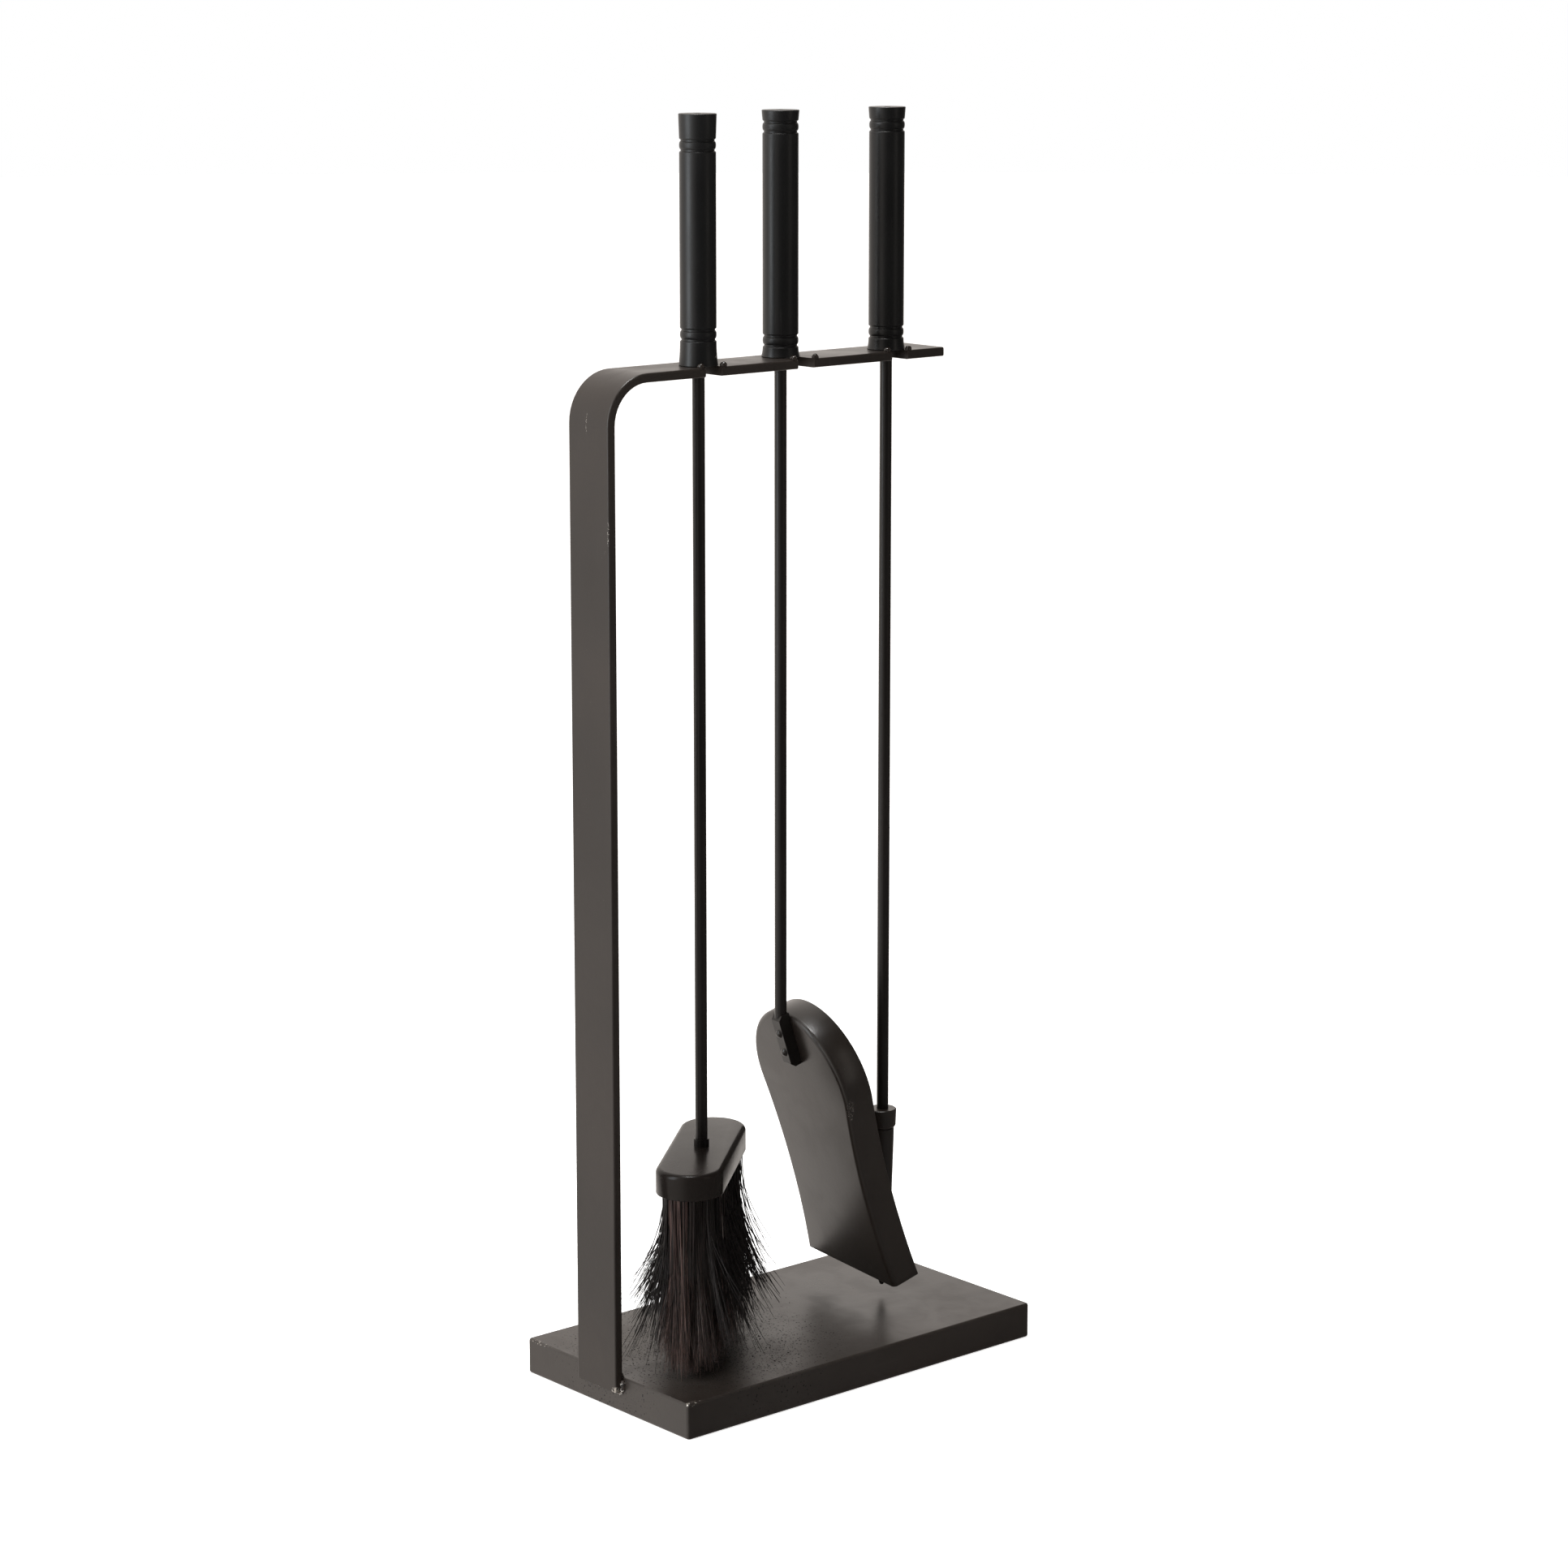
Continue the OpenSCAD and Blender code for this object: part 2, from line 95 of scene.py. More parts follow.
@dataclass(frozen=True)
class Signal:
    """A shader output that takes part in Python sums, adding the Math nodes that they need."""

    graph: "Graph"
    socket: bpy.types.NodeSocket

    def __add__(self, other: "Signal | float") -> "Signal":
        """Sum."""
        return self.graph.math("ADD", self, other)

    def __sub__(self, other: "Signal | float") -> "Signal":
        """Difference."""
        return self.graph.math("SUBTRACT", self, other)

    def __mul__(self, other: "Signal | float") -> "Signal":
        """Product."""
        return self.graph.math("MULTIPLY", self, other)

    def __abs__(self) -> "Signal":
        """Distance from zero."""
        return self.graph.math("ABSOLUTE", self)

    def at_most(self, other: "Signal | float") -> "Signal":
        """The lower of two values."""
        return self.graph.math("MINIMUM", self, other)

    def at_least(self, other: "Signal | float") -> "Signal":
        """The higher of two values."""
        return self.graph.math("MAXIMUM", self, other)

    def mask(self, low: float, high: float, blend: Blend = Blend.SMOOTH) -> "Signal":
        """Turns a value into 0 to 1 between two limits.

        Args:
            low: The value that gives 0.
            high: The value that gives 1; it may be below low.
            blend: How the mask changes between them.

        Returns:
            The mask.
        """
        return self.graph.add(
            "ShaderNodeMapRange",
            {"interpolation_type": blend.value},
            {"Value": self, "From Min": low, "From Max": high},
        )


class Graph:
    """A material's or a world's node tree, with one method that makes any node."""

    def __init__(self, owner: bpy.types.Material | bpy.types.World) -> None:
        """Clears the owner's tree and keeps it."""
        owner.use_nodes = True
        self.tree = owner.node_tree
        self.tree.nodes.clear()

    def add(
        self,
        kind: str,
        settings: dict | None = None,
        inputs: dict | None = None,
        output: int | str = 0,
    ) -> Signal:
        """Makes one node.

        Args:
            kind: The node's type.
            settings: Its own settings, by name.
            inputs: Values or signals by socket name or number.
            output: Which of its outputs is wanted.

        Returns:
            That output.
        """
        node = self.tree.nodes.new(kind)
        for key, value in (settings or {}).items():
            setattr(node, key, value)
        for key, value in (inputs or {}).items():
            if isinstance(value, Signal):
                self.tree.links.new(value.socket, node.inputs[key])
            else:
                node.inputs[key].default_value = value
        return Signal(self, node.outputs[output])

    def math(self, operation: str, first: Signal | float, second: Signal | float = 0.0) -> Signal:
        """Adds one Math node."""
        return self.add("ShaderNodeMath", {"operation": operation}, {0: first, 1: second})

    def place(self, stretch: Vec = (1.0, 1.0, 1.0), centre: Vec = (0.0, 0.0, 0.0)) -> Signal:
        """Object coordinates about a centre, stretched along the axes.

        Args:
            stretch: Factors along X, Y and Z.
            centre: The point that becomes the origin, in metres.

        Returns:
            The coordinates.
        """
        here = self.add("ShaderNodeTexCoord", output="Object")
        shift = tuple(-c * s for c, s in zip(centre, stretch))
        return self.add("ShaderNodeMapping", None, {"Vector": here, "Location": shift, "Scale": stretch})

    def axes(self, centre: Vec = (0.0, 0.0, 0.0)) -> tuple[Signal, Signal, Signal]:
        """The three object coordinates about a centre.

        Args:
            centre: The point that becomes the origin, in metres.

        Returns:
            X, Y and Z as separate signals.
        """
        split = self.add("ShaderNodeSeparateXYZ", None, {0: self.place(centre=centre)})
        x, y, z = split.socket.node.outputs
        return Signal(self, x), Signal(self, y), Signal(self, z)

    def noise(
        self,
        scale: float,
        detail: float = 3.0,
        stretch: Vec = (1.0, 1.0, 1.0),
        warp: float = 0.0,
    ) -> Signal:
        """Fractal noise on object coordinates.

        Args:
            scale: Waves per metre.
            detail: Octaves.
            stretch: Factors along the axes, below 1 for streaks.
            warp: Distortion.

        Returns:
            The noise, about 0.2 to 0.8.
        """
        inputs = {"Vector": self.place(stretch), "Scale": scale, "Detail": detail, "Distortion": warp}
        return self.add("ShaderNodeTexNoise", None, inputs)

    def cells(self, scale: float) -> Signal:
        """Distance to the nearest of scattered points, for specks."""
        return self.add("ShaderNodeTexVoronoi", {"feature": "F1"}, {"Vector": self.place(), "Scale": scale})

    def mix(self, factor: Signal, first: Signal | Colour, second: Signal | Colour) -> Signal:
        """Mixes two colours.

        Args:
            factor: How much of the second colour there is.
            first: The first colour.
            second: The second colour.

        Returns:
            The mixed colour.
        """
        one, two = (c if isinstance(c, Signal) else (*c, 1.0) for c in (first, second))
        inputs = {MIX_FACTOR: factor, MIX_FIRST: one, MIX_SECOND: two}
        return self.add("ShaderNodeMix", {"data_type": "RGBA"}, inputs, MIX_RESULT)

    def bump(self, height: Signal, depth: float) -> Signal:
        """Turns a height into a normal; depth is in metres."""
        return self.add("ShaderNodeBump", None, {"Height": height, "Distance": depth})

    def finish(self, inputs: dict) -> None:
        """Ends a material in one Principled shader with these inputs."""
        self.end(self.add("ShaderNodeBsdfPrincipled", None, inputs), "ShaderNodeOutputMaterial")

    def end(self, shader: Signal, kind: str) -> None:
        """Links a shader to an output node of a kind."""
        output = self.tree.nodes.new(kind)
        self.tree.links.new(shader.socket, output.inputs["Surface"])


# ---------- finishes ----------


class Finish(Protocol):
    """Anything that can build a material."""

    def material(self) -> bpy.types.Material:
        """Builds the material."""


@dataclass(frozen=True)
class Mark:
    """A worn place in a coat: an ellipsoid in which flakes of the coat have come off."""

    at: Vec
    size: Vec
    flake_scale: float = 900.0
    cover: float = 0.5
    whole_below: float = 0.66
    cover_reach: float = 0.2
    flake_edge: float = 0.03
    core: float = 0.6

    def mask(self, g: Graph) -> Signal:
        """Where the coat is off.

        Args:
            g: The tree to add to.

        Returns:
            A mask that is 1 on bare metal.
        """
        x, y, z = (axis * (1.0 / size) for axis, size in zip(g.axes(self.at), self.size))
        inside = g.math("SQRT", x * x + y * y + z * z).mask(1.0, self.core)
        limit = self.whole_below - self.cover_reach * self.cover
        return inside * g.noise(self.flake_scale, 3.0).mask(limit, limit + self.flake_edge, Blend.LINEAR)


@dataclass
class Layers:
    """What a coat feeds its shader; each layer of dust or wear changes it."""

    colour: Signal
    rough: Signal
    height: Signal
    metal: Signal | None = None


@dataclass(frozen=True)
class BlackCoat:
    """Satin black powder coat on steel, with mottling, grain, lint, hairline scratches and worn places.

    Scales are in waves or cells per metre, and lengths in metres.
    """

    name: str
    colour: Colour = (0.0130, 0.0098, 0.0080)
    tint: Colour = (0.0200, 0.0145, 0.0115)
    scratch_colour: Colour = (0.07, 0.062, 0.055)
    lint_colour: Colour = (0.13, 0.115, 0.10)
    film_colour: Colour = (0.085, 0.072, 0.063)
    dust_colour: Colour = (0.004, 0.003, 0.0028)
    rub_colour: Colour = (0.075, 0.064, 0.055)
    chip_colour: Colour = (0.20, 0.175, 0.15)
    bare_colour: Colour = (0.42, 0.39, 0.35)
    roughness: float = 0.38
    spread: float = 0.10
    rough_range: tuple[float, float] = (0.12, 0.95)
    specular: float = 0.5
    cloud_scale: float = 7.0
    smudge_scale: float = 38.0
    grain: float = 0.00003
    grain_scale: float = 900.0
    lint: float = 0.3
    lint_scale: float = 230.0
    scratch_axis: int = 2
    scratches: float = 0.4
    scratch_scale: float = 900.0
    scratch_stretch: float = 0.012
    rub_box: tuple[Vec, Vec] | None = None
    rub_width: float = 0.0016
    rub: float = 0.5
    chip_scale: float = 420.0
    chip_depth: float = 2.0
    marks: tuple[Mark, ...] = ()
    ash_centre: Vec | None = None
    ash_reach: float = 0.125
    ash_core: float = 0.02
    fine_scale: float = 560.0
    coarse_scale: float = 340.0

    def material(self) -> bpy.types.Material:
        """Builds the material.

        Returns:
            The material.
        """
        made = bpy.data.materials.new(self.name)
        g = Graph(made)
        smudge = g.noise(self.smudge_scale, 5.0, warp=0.8)
        layers = self.base(g, smudge)
        if self.lint > 0:
            self.add_lint(g, layers)
        if self.ash_centre is not None:
            self.add_dust(g, layers)
        if self.rub_box is not None:
            self.add_rub(g, layers, smudge)
        for mark in self.marks:
            self.add_mark(g, layers, mark)
        least, most = self.rough_range
        inputs = {
            "Base Color": layers.colour,
            "Roughness": layers.rough.at_least(least).at_most(most),
            "Normal": g.bump(layers.height, self.grain),
            "Specular IOR Level": self.specular,
        }
        if layers.metal is not None:
            inputs["Metallic"] = layers.metal
        g.finish(inputs)
        return made

    def base(self, g: Graph, smudge: Signal) -> Layers:
        """The mottled and grained coat with its hairline scratches.

        Args:
            g: The tree to add to.
            smudge: The noise of handling marks.

        Returns:
            The layers so far.
        """
        cloud = g.noise(self.cloud_scale, 4.0, warp=0.4)
        stretch = tuple(self.scratch_stretch if i == self.scratch_axis else 1.0 for i in range(3))
        streak = g.noise(self.scratch_scale, 2.0, stretch=stretch).mask(0.66, 0.74)
        streak = streak * smudge.mask(0.5, 0.62) * self.scratches
        colour = g.mix(cloud.mask(0.35, 0.7), self.colour, self.tint)
        colour = g.mix(streak * 0.35, colour, self.scratch_colour)
        rough = cloud.mask(0.3, 0.7) * self.spread + smudge.mask(0.35, 0.7) * (self.spread * 0.7)
        rough = rough + (self.roughness - self.spread * 0.8) + streak * 0.12
        grain = g.noise(self.grain_scale, 2.0)
        peel = g.noise(self.grain_scale * 0.3, 2.0)
        return Layers(colour, rough, grain * 0.4 + peel)

    def add_lint(self, g: Graph, layers: Layers) -> None:
        """Adds pale specks of lint.

        Args:
            g: The tree to add to.
            layers: The layers so far.
        """
        specks = g.cells(self.lint_scale).mask(0.09, 0.05) * g.noise(60.0, 2.0).mask(0.56, 0.64) * self.lint
        layers.colour = g.mix(specks, layers.colour, self.lint_colour)
        layers.rough = layers.rough + specks * 0.4

    def add_dust(self, g: Graph, layers: Layers) -> None:
        """Adds the fine black dust that falls round a brush.

        Args:
            g: The tree to add to.
            layers: The layers so far.
        """
        x, y, _ = g.axes(self.ash_centre)
        reach = g.math("SQRT", x * x + y * y).mask(self.ash_reach, self.ash_core, Blend.LINEAR)
        drift = g.noise(26.0, 3.0, warp=0.3).mask(-0.1, 0.65, Blend.LINEAR)
        fine = g.cells(self.fine_scale).mask(0.28, 0.17)
        fine = fine * (reach * drift * g.noise(500.0, 2.0)).mask(0.08, 0.30)
        coarse = g.cells(self.coarse_scale).mask(0.24, 0.16)
        coarse = coarse * (reach * g.noise(120.0, 3.0)).mask(0.12, 0.24)
        specks = fine.at_least(coarse)
        film = reach * drift
        layers.colour = g.mix(film * 0.26, layers.colour, self.film_colour)
        layers.colour = g.mix(specks, layers.colour, self.dust_colour)
        layers.rough = layers.rough + specks * 0.45 + film * 0.12
        layers.height = layers.height + specks * 1.2

    def add_rub(self, g: Graph, layers: Layers, smudge: Signal) -> None:
        """Rubs and chips the coat along the edges of the rubbed box.

        Args:
            g: The tree to add to.
            layers: The layers so far.
            smudge: The noise of handling marks.
        """
        edge = self.edge(g)
        rub = edge * smudge.mask(0.42, 0.7) * self.rub
        chip = g.noise(self.chip_scale, 4.0, warp=0.6).mask(0.66, 0.69, Blend.LINEAR)
        chip = chip * edge.mask(0.2, 0.6) * self.rub
        layers.colour = g.mix(rub * 0.5, layers.colour, self.rub_colour)
        layers.colour = g.mix(chip, layers.colour, self.chip_colour)
        layers.metal = chip * 0.6
        layers.height = layers.height - chip * self.chip_depth

    def edge(self, g: Graph) -> Signal:
        """Where two faces of the rubbed box meet.

        Args:
            g: The tree to add to.

        Returns:
            A mask that is 1 along the box's edges.
        """
        low, high = self.rub_box
        centre = tuple((a + b) / 2 for a, b in zip(low, high))
        near = []
        for axis, half in zip(g.axes(centre), ((b - a) / 2 for a, b in zip(low, high))):
            near.append(abs(axis).mask(half - self.rub_width, half))
        return (near[0] * near[1]).at_least(near[1] * near[2]).at_least(near[0] * near[2])

    def add_mark(self, g: Graph, layers: Layers, mark: Mark) -> None:
        """Takes the coat off at a worn place.

        Args:
            g: The tree to add to.
            layers: The layers so far.
            mark: The worn place.
        """
        bare = mark.mask(g)
        layers.colour = g.mix(bare, layers.colour, self.bare_colour)
        layers.metal = bare * 0.8 if layers.metal is None else layers.metal.at_least(bare * 0.8)
        layers.height = layers.height - bare * self.chip_depth


@dataclass(frozen=True)
class WeldBead:
    """A painted weld with heat marks, grit and bright chips."""

    name: str
    paint: Colour = (0.016, 0.013, 0.012)
    heat: Colour = (0.06, 0.042, 0.033)
    bare: Colour = (0.62, 0.59, 0.55)
    grit_depth: float = 0.5 * MM

    def material(self) -> bpy.types.Material:
        """Builds the material.

        Returns:
            The material.
        """
        made = bpy.data.materials.new(self.name)
        g = Graph(made)
        grit = g.noise(700.0, 5.0, warp=0.5)
        flake = g.noise(420.0, 4.0, warp=1.0).mask(0.57, 0.60, Blend.LINEAR)
        colour = g.mix(g.noise(160.0, 4.0).mask(0.4, 0.65), self.paint, self.heat)
        g.finish(
            {
                "Base Color": g.mix(flake, colour, self.bare),
                "Roughness": grit.mask(0.3, 0.7) * 0.3 + 0.32,
                "Metallic": flake * 0.6,
                "Normal": g.bump(grit + flake * -0.6, self.grit_depth),
            }
        )
        return made


@dataclass(frozen=True)
class DarkSteel:
    """Blackened steel of screws and nuts, with turning marks and worn places."""

    name: str
    colour: Colour = (0.16, 0.155, 0.15)
    shade: float = 0.45
    ring_depth: float = 0.04 * MM

    def material(self) -> bpy.types.Material:
        """Builds the material.

        Returns:
            The material.
        """
        made = bpy.data.materials.new(self.name)
        g = Graph(made)
        worn = g.noise(420.0, 4.0).mask(0.4, 0.7)
        rings = g.noise(2600.0, 2.0, stretch=(0.05, 0.05, 1.0))
        g.finish(
            {
                "Base Color": g.mix(worn, tuple(c * self.shade for c in self.colour), self.colour),
                "Metallic": 1.0,
                "Roughness": worn * 0.2 + rings * 0.15 + 0.25,
                "Normal": g.bump(rings, self.ring_depth),
            }
        )
        return made


@dataclass(frozen=True)
class PlainWood:
    """Bare close-grained wood of the brush's stock."""

    name: str
    pale: Colour = (0.30, 0.19, 0.10)
    dark: Colour = (0.17, 0.10, 0.055)
    pore: Colour = (0.08, 0.05, 0.03)
    grain_depth: float = 0.15 * MM

    def material(self) -> bpy.types.Material:
        """Builds the material.

        Returns:
            The material.
        """
        made = bpy.data.materials.new(self.name)
        g = Graph(made)
        rings = g.noise(220.0, 5.0, stretch=(0.12, 1.0, 1.0), warp=1.2)
        pores = g.noise(1400.0, 2.0, stretch=(0.05, 1.0, 1.0))
        colour = g.mix(rings.mask(0.35, 0.65), self.pale, self.dark)
        g.finish(
            {
                "Base Color": g.mix(pores.mask(0.6, 0.7) * 0.5, colour, self.pore),
                "Roughness": rings * 0.2 + 0.5,
                "Normal": g.bump(rings + pores, self.grain_depth),
            }
        )
        return made


@dataclass(frozen=True)
class Fibre:
    """Coarse brush fibre: streaks of two colours, paler and dustier towards the tips."""

    name: str
    dark: Colour
    pale: Colour
    roughness: float = 0.42
    root_z: float = 0.144
    tip_z: float = 0.03
    faded: float = 0.3
    dust: Colour = (0.15, 0.095, 0.080)
    shade: float = 0.4
    streak_depth: float = 0.1 * MM

    def material(self) -> bpy.types.Material:
        """Builds the material.

        Returns:
            The material.
        """
        made = bpy.data.materials.new(self.name)
        g = Graph(made)
        streak = g.noise(900.0, 3.0, stretch=(1.0, 1.0, 0.02))
        tuft = g.noise(110.0, 3.0, stretch=(1.0, 1.0, 0.15))
        fall = g.axes()[2].mask(self.root_z, self.tip_z, Blend.LINEAR)
        colour = g.mix(streak.mask(0.4, 0.62), self.dark, self.pale)
        colour = g.mix(tuft.mask(0.45, 0.7) * 0.5, colour, tuple(c * self.shade for c in self.dark))
        g.finish(
            {
                "Base Color": g.mix(fall * fall * self.faded, colour, self.dust),
                "Roughness": streak * 0.2 + self.roughness - 0.1,
                "Specular IOR Level": 0.45,
                "Normal": g.bump(streak, self.streak_depth),
            }
        )
        return made


ROD_COAT = BlackCoat(
    "rod_coat",
    colour=(0.0060, 0.0048, 0.0042),
    tint=(0.0095, 0.0075, 0.0065),
    roughness=0.34,
    spread=0.07,
    lint=0.0,
    specular=0.32,
)


# ---------- mesh helpers ----------


def put(
    shape: bmesh.types.BMesh | bpy.types.Mesh,
    name: str,
    finish: Finish,
    body: Body,
    slot: Slot,
    *nodes: str,
) -> bpy.types.Object:
    """Makes a piece from a finished mesh and gives it its body and finish.

    Args:
        shape: The mesh, in the object's frame; a bmesh is freed.
        name: The piece's name.
        finish: What makes its material.
        body: The body it rides on.
        slot: The material slot it stands for; not used.
        *nodes: The CAD nodes that it stands for.

    Returns:
        The piece.
    """
    mesh = shape
    if isinstance(shape, bmesh.types.BMesh):
        mesh = bpy.data.meshes.new(name)
        shape.to_mesh(mesh)
        shape.free()
    mesh.name = name
    piece = bpy.data.objects.new(name, mesh)
    bpy.context.scene.collection.objects.link(piece)
    mesh.materials.clear()
    mesh.materials.append(material_of(finish))
    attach(piece, body.value)
    if nodes:
        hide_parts(*nodes)
    log.info("made %s: %d faces", name, len(mesh.polygons))
    return piece


@cache
def material_of(finish: Finish) -> bpy.types.Material:
    """The finish's material, built once."""
    return finish.material()


def dress(node: str, finish: Finish) -> None:
    """Gives a CAD node a finish.

    Args:
        node: The node's name.
        finish: What makes its material.
    """
    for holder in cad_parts[node].material_slots:
        holder.material = material_of(finish)
    log.info("dressed %s", node)


def centre_of(node: str) -> Vector:
    """The middle of a CAD node's box."""
    low, high = (Vector(corner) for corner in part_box(node))
    return (low + high) / 2


def round_over(
    bm: bmesh.types.BMesh,
    edges: list[bmesh.types.BMEdge],
    radius: float,
    segments: int,
    clamp: bool = True,
) -> None:
    """Rounds edges.

    Args:
        bm: The mesh.
        edges: The edges to round.
        radius: The rounding's radius.
        segments: Its number of steps.
        clamp: Whether it stops where two roundings meet.
    """
    bmesh.ops.bevel(
        bm,
        geom=edges,
        offset=radius,
        offset_type="OFFSET",
        segments=segments,
        profile=0.5,
        affect="EDGES",
        material=-1,
        clamp_overlap=clamp,
    )


def give_wall(piece: bpy.types.Object, thickness: float, lip_r: float) -> None:
    """Gives an open sheet its thickness, inwards, and rounds its lips.

    Args:
        piece: The sheet.
        thickness: Its thickness.
        lip_r: How far its lips are rounded.
    """
    wall = piece.modifiers.new("thickness", "SOLIDIFY")
    wall.thickness = thickness
    wall.offset = -1.0
    lip = piece.modifiers.new("lip", "BEVEL")
    lip.width = lip_r
    lip.segments = 2
    lip.limit_method = "ANGLE"
    lip.angle_limit = math.radians(50)


def smooth(bm: bmesh.types.BMesh) -> None:
    """Shades every face smooth."""
    for face in bm.faces:
        face.smooth = True


def crease(bm: bmesh.types.BMesh, angle: float = math.radians(38)) -> None:
    """Shades every face smooth, apart from the edges that turn by more than an angle.

    Args:
        bm: The mesh.
        angle: The angle, in radians.
    """
    smooth(bm)
    for edge in bm.edges:
        edge.smooth = len(edge.link_faces) != 2 or edge.calc_face_angle() < angle


def lathe(profile: list[tuple[float, float]], at: Vec, steps: int) -> bmesh.types.BMesh:
    """Turns an outline about the vertical.

    Args:
        profile: The outline's radii and heights, from the axis round to the axis.
        at: Where the axis meets the outline's zero height.
        steps: How many steps a full turn has.

    Returns:
        The closed solid.
    """
    bm = bmesh.new()
    verts = [bm.verts.new((r, 0.0, z)) for r, z in profile]
    edges = [bm.edges.new(pair) for pair in zip(verts, verts[1:])]
    bmesh.ops.spin(
        bm, geom=verts + edges, cent=(0, 0, 0), axis=(0, 0, 1), angle=math.tau, steps=steps, use_merge=True
    )
    bmesh.ops.remove_doubles(bm, verts=bm.verts[:], dist=1e-7)
    bmesh.ops.recalc_face_normals(bm, faces=bm.faces[:])
    bmesh.ops.translate(bm, verts=bm.verts[:], vec=at)
    crease(bm)
    return bm


def strands(name: str, paths: list[TubePath], sides: int = 0) -> bpy.types.Mesh:
    """Turns paths into a mesh of closed tubes.

    Args:
        name: The mesh's name.
        paths: For each tube, its points and their radii.
        sides: The curve's bevel resolution; 0 gives four sides.

    Returns:
        The mesh.
    """
    curve = bpy.data.curves.new(name, "CURVE")
    curve.dimensions = "3D"
    curve.bevel_depth = 1.0
    curve.bevel_resolution = sides
    curve.use_fill_caps = True
    for path in paths:
        spline = curve.splines.new("POLY")
        spline.points.add(len(path) - 1)
        spline.use_smooth = True
        for point, (place, radius) in zip(spline.points, path):
            point.co = (*place, 1.0)
            point.radius = radius
    holder = bpy.data.objects.new(name, curve)
    bpy.context.scene.collection.objects.link(holder)
    bpy.context.view_layer.update()
    mesh = bpy.data.meshes.new_from_object(holder.evaluated_get(bpy.context.evaluated_depsgraph_get()))
    bpy.data.objects.remove(holder)
    bpy.data.curves.remove(curve)
    return mesh


# ---------- stand ----------


@dataclass
class Stand:
    """The plate, the bent bar, its weld and its six stop beads."""

    weld_r: float = 2.5 * MM
    weld_step: float = 1.7 * MM
    weld_out: float = 0.5 * MM
    weld_lump: float = 0.35 * MM
    corner_r: float = 2.6 * MM
    edge_r: float = 1.7 * MM
    bead_r: float = 2.3 * MM
    bead_lift: float = 0.6 * MM
    bead_uneven: float = 0.10
    crumb_count: int = 1500
    crumb_reach: float = 50 * MM
    crumb_margin: float = 6 * MM
    seed: int = 11

    def build(self) -> None:
        """Dresses the CAD nodes and makes the weld, the beads and the crumbs."""
        self.dress_plate()
        self.dress_bar()
        self.weld()
        for tool in ("brush", "shovel", "poker"):
            for side in ("left", "right"):
                self.stop_bead(f"stop_bead_{tool}_{side}")
        self.crumbs()

    def dress_plate(self) -> None:
        """Makes the plate, with rubbed edges and black dust round the brush."""
        low, high = (tuple(corner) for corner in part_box("base_plate"))
        brush = centre_of("brush_cap")
        near_corner = (low[0] + 4 * MM, low[1] + 1 * MM, high[2])
        far_corner = (low[0], high[1] - 12 * MM, high[2])
        coat = BlackCoat(
            "plate_coat",
            roughness=0.34,
            scratch_axis=0,
            rub_box=(low, high),
            rub=0.55,
            lint=0.35,
            marks=(
                Mark(near_corner, (9 * MM, 3 * MM, 2.5 * MM), 700.0, 0.5),
                Mark(far_corner, (3 * MM, 12 * MM, 2 * MM), 800.0, 0.4),
            ),
            ash_centre=(brush.x, brush.y, high[2]),
        )
        bm = bmesh.new()
        bmesh.ops.create_cube(bm, size=1.0)
        bmesh.ops.scale(bm, verts=bm.verts[:], vec=Vector(high) - Vector(low))
        bmesh.ops.translate(bm, verts=bm.verts[:], vec=(Vector(high) + Vector(low)) / 2)
        corners = [edge for edge in bm.edges if not self.is_level(edge)]
        round_over(bm, corners, self.corner_r, 8)
        rims = [edge for edge in bm.edges if self.is_level(edge)]
        round_over(bm, rims, self.edge_r, 5)
        smooth(bm)
        piece = put(bm, "ground_plate", coat, Body.STAND, Slot.PLATE, "base_plate")
        piece.modifiers.new("normals", "WEIGHTED_NORMAL").keep_sharp = True

    def is_level(self, edge: bmesh.types.BMEdge) -> bool:
        """Whether an edge's ends are equally high."""
        return abs(edge.verts[0].co.z - edge.verts[1].co.z) < 0.001 * MM

    def dress_bar(self) -> None:
        """Coats the bent bar, with one score below the bend and nicks on its near edge."""
        low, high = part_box("stand_bar")
        middle = (low[1] + high[1]) / 2
        score_at = (low[0] + 2 * MM, middle + 2 * MM, high[2] - 31 * MM)
        nick_at = (low[0], low[1] + 1 * MM, high[2] - 98 * MM)
        foot_at = (low[0], low[1], low[2] + 1 * MM)
        marks = (
            Mark(score_at, (5 * MM, 0.6 * MM, 8 * MM), 1500.0, 0.5),
            Mark(nick_at, (2 * MM, 1 * MM, 9 * MM), 1400.0, 0.3),
            Mark(foot_at, (4 * MM, 5 * MM, 3 * MM), 700.0, 0.7),
        )
        dress("stand_bar", BlackCoat("bar_coat", roughness=0.37, specular=0.39, lint=0.35, marks=marks))

    def run(self, start: Vector, end: Vector, rng: random.Random) -> TubePath:
        """One lumpy run of weld between two points.

        Args:
            start: Where it starts.
            end: Where it ends.
            rng: The source of randomness.

        Returns:
            The points and radii of its tube.
        """
        count = max(4, int((end - start).length / self.weld_step))
        path = []
        for i in range(count + 1):
            jitter = Vector((rng.uniform(-1, 1), rng.uniform(-1, 1), rng.uniform(-1, 1))) * self.weld_lump
            lump = rng.uniform(0.72, 1.12) * (1.0 if i % 2 else 0.86)
            fade = 0.45 if i in (0, count) else 1.0
            path.append((start.lerp(end, i / count) + jitter, self.weld_r * lump * fade))
        return path

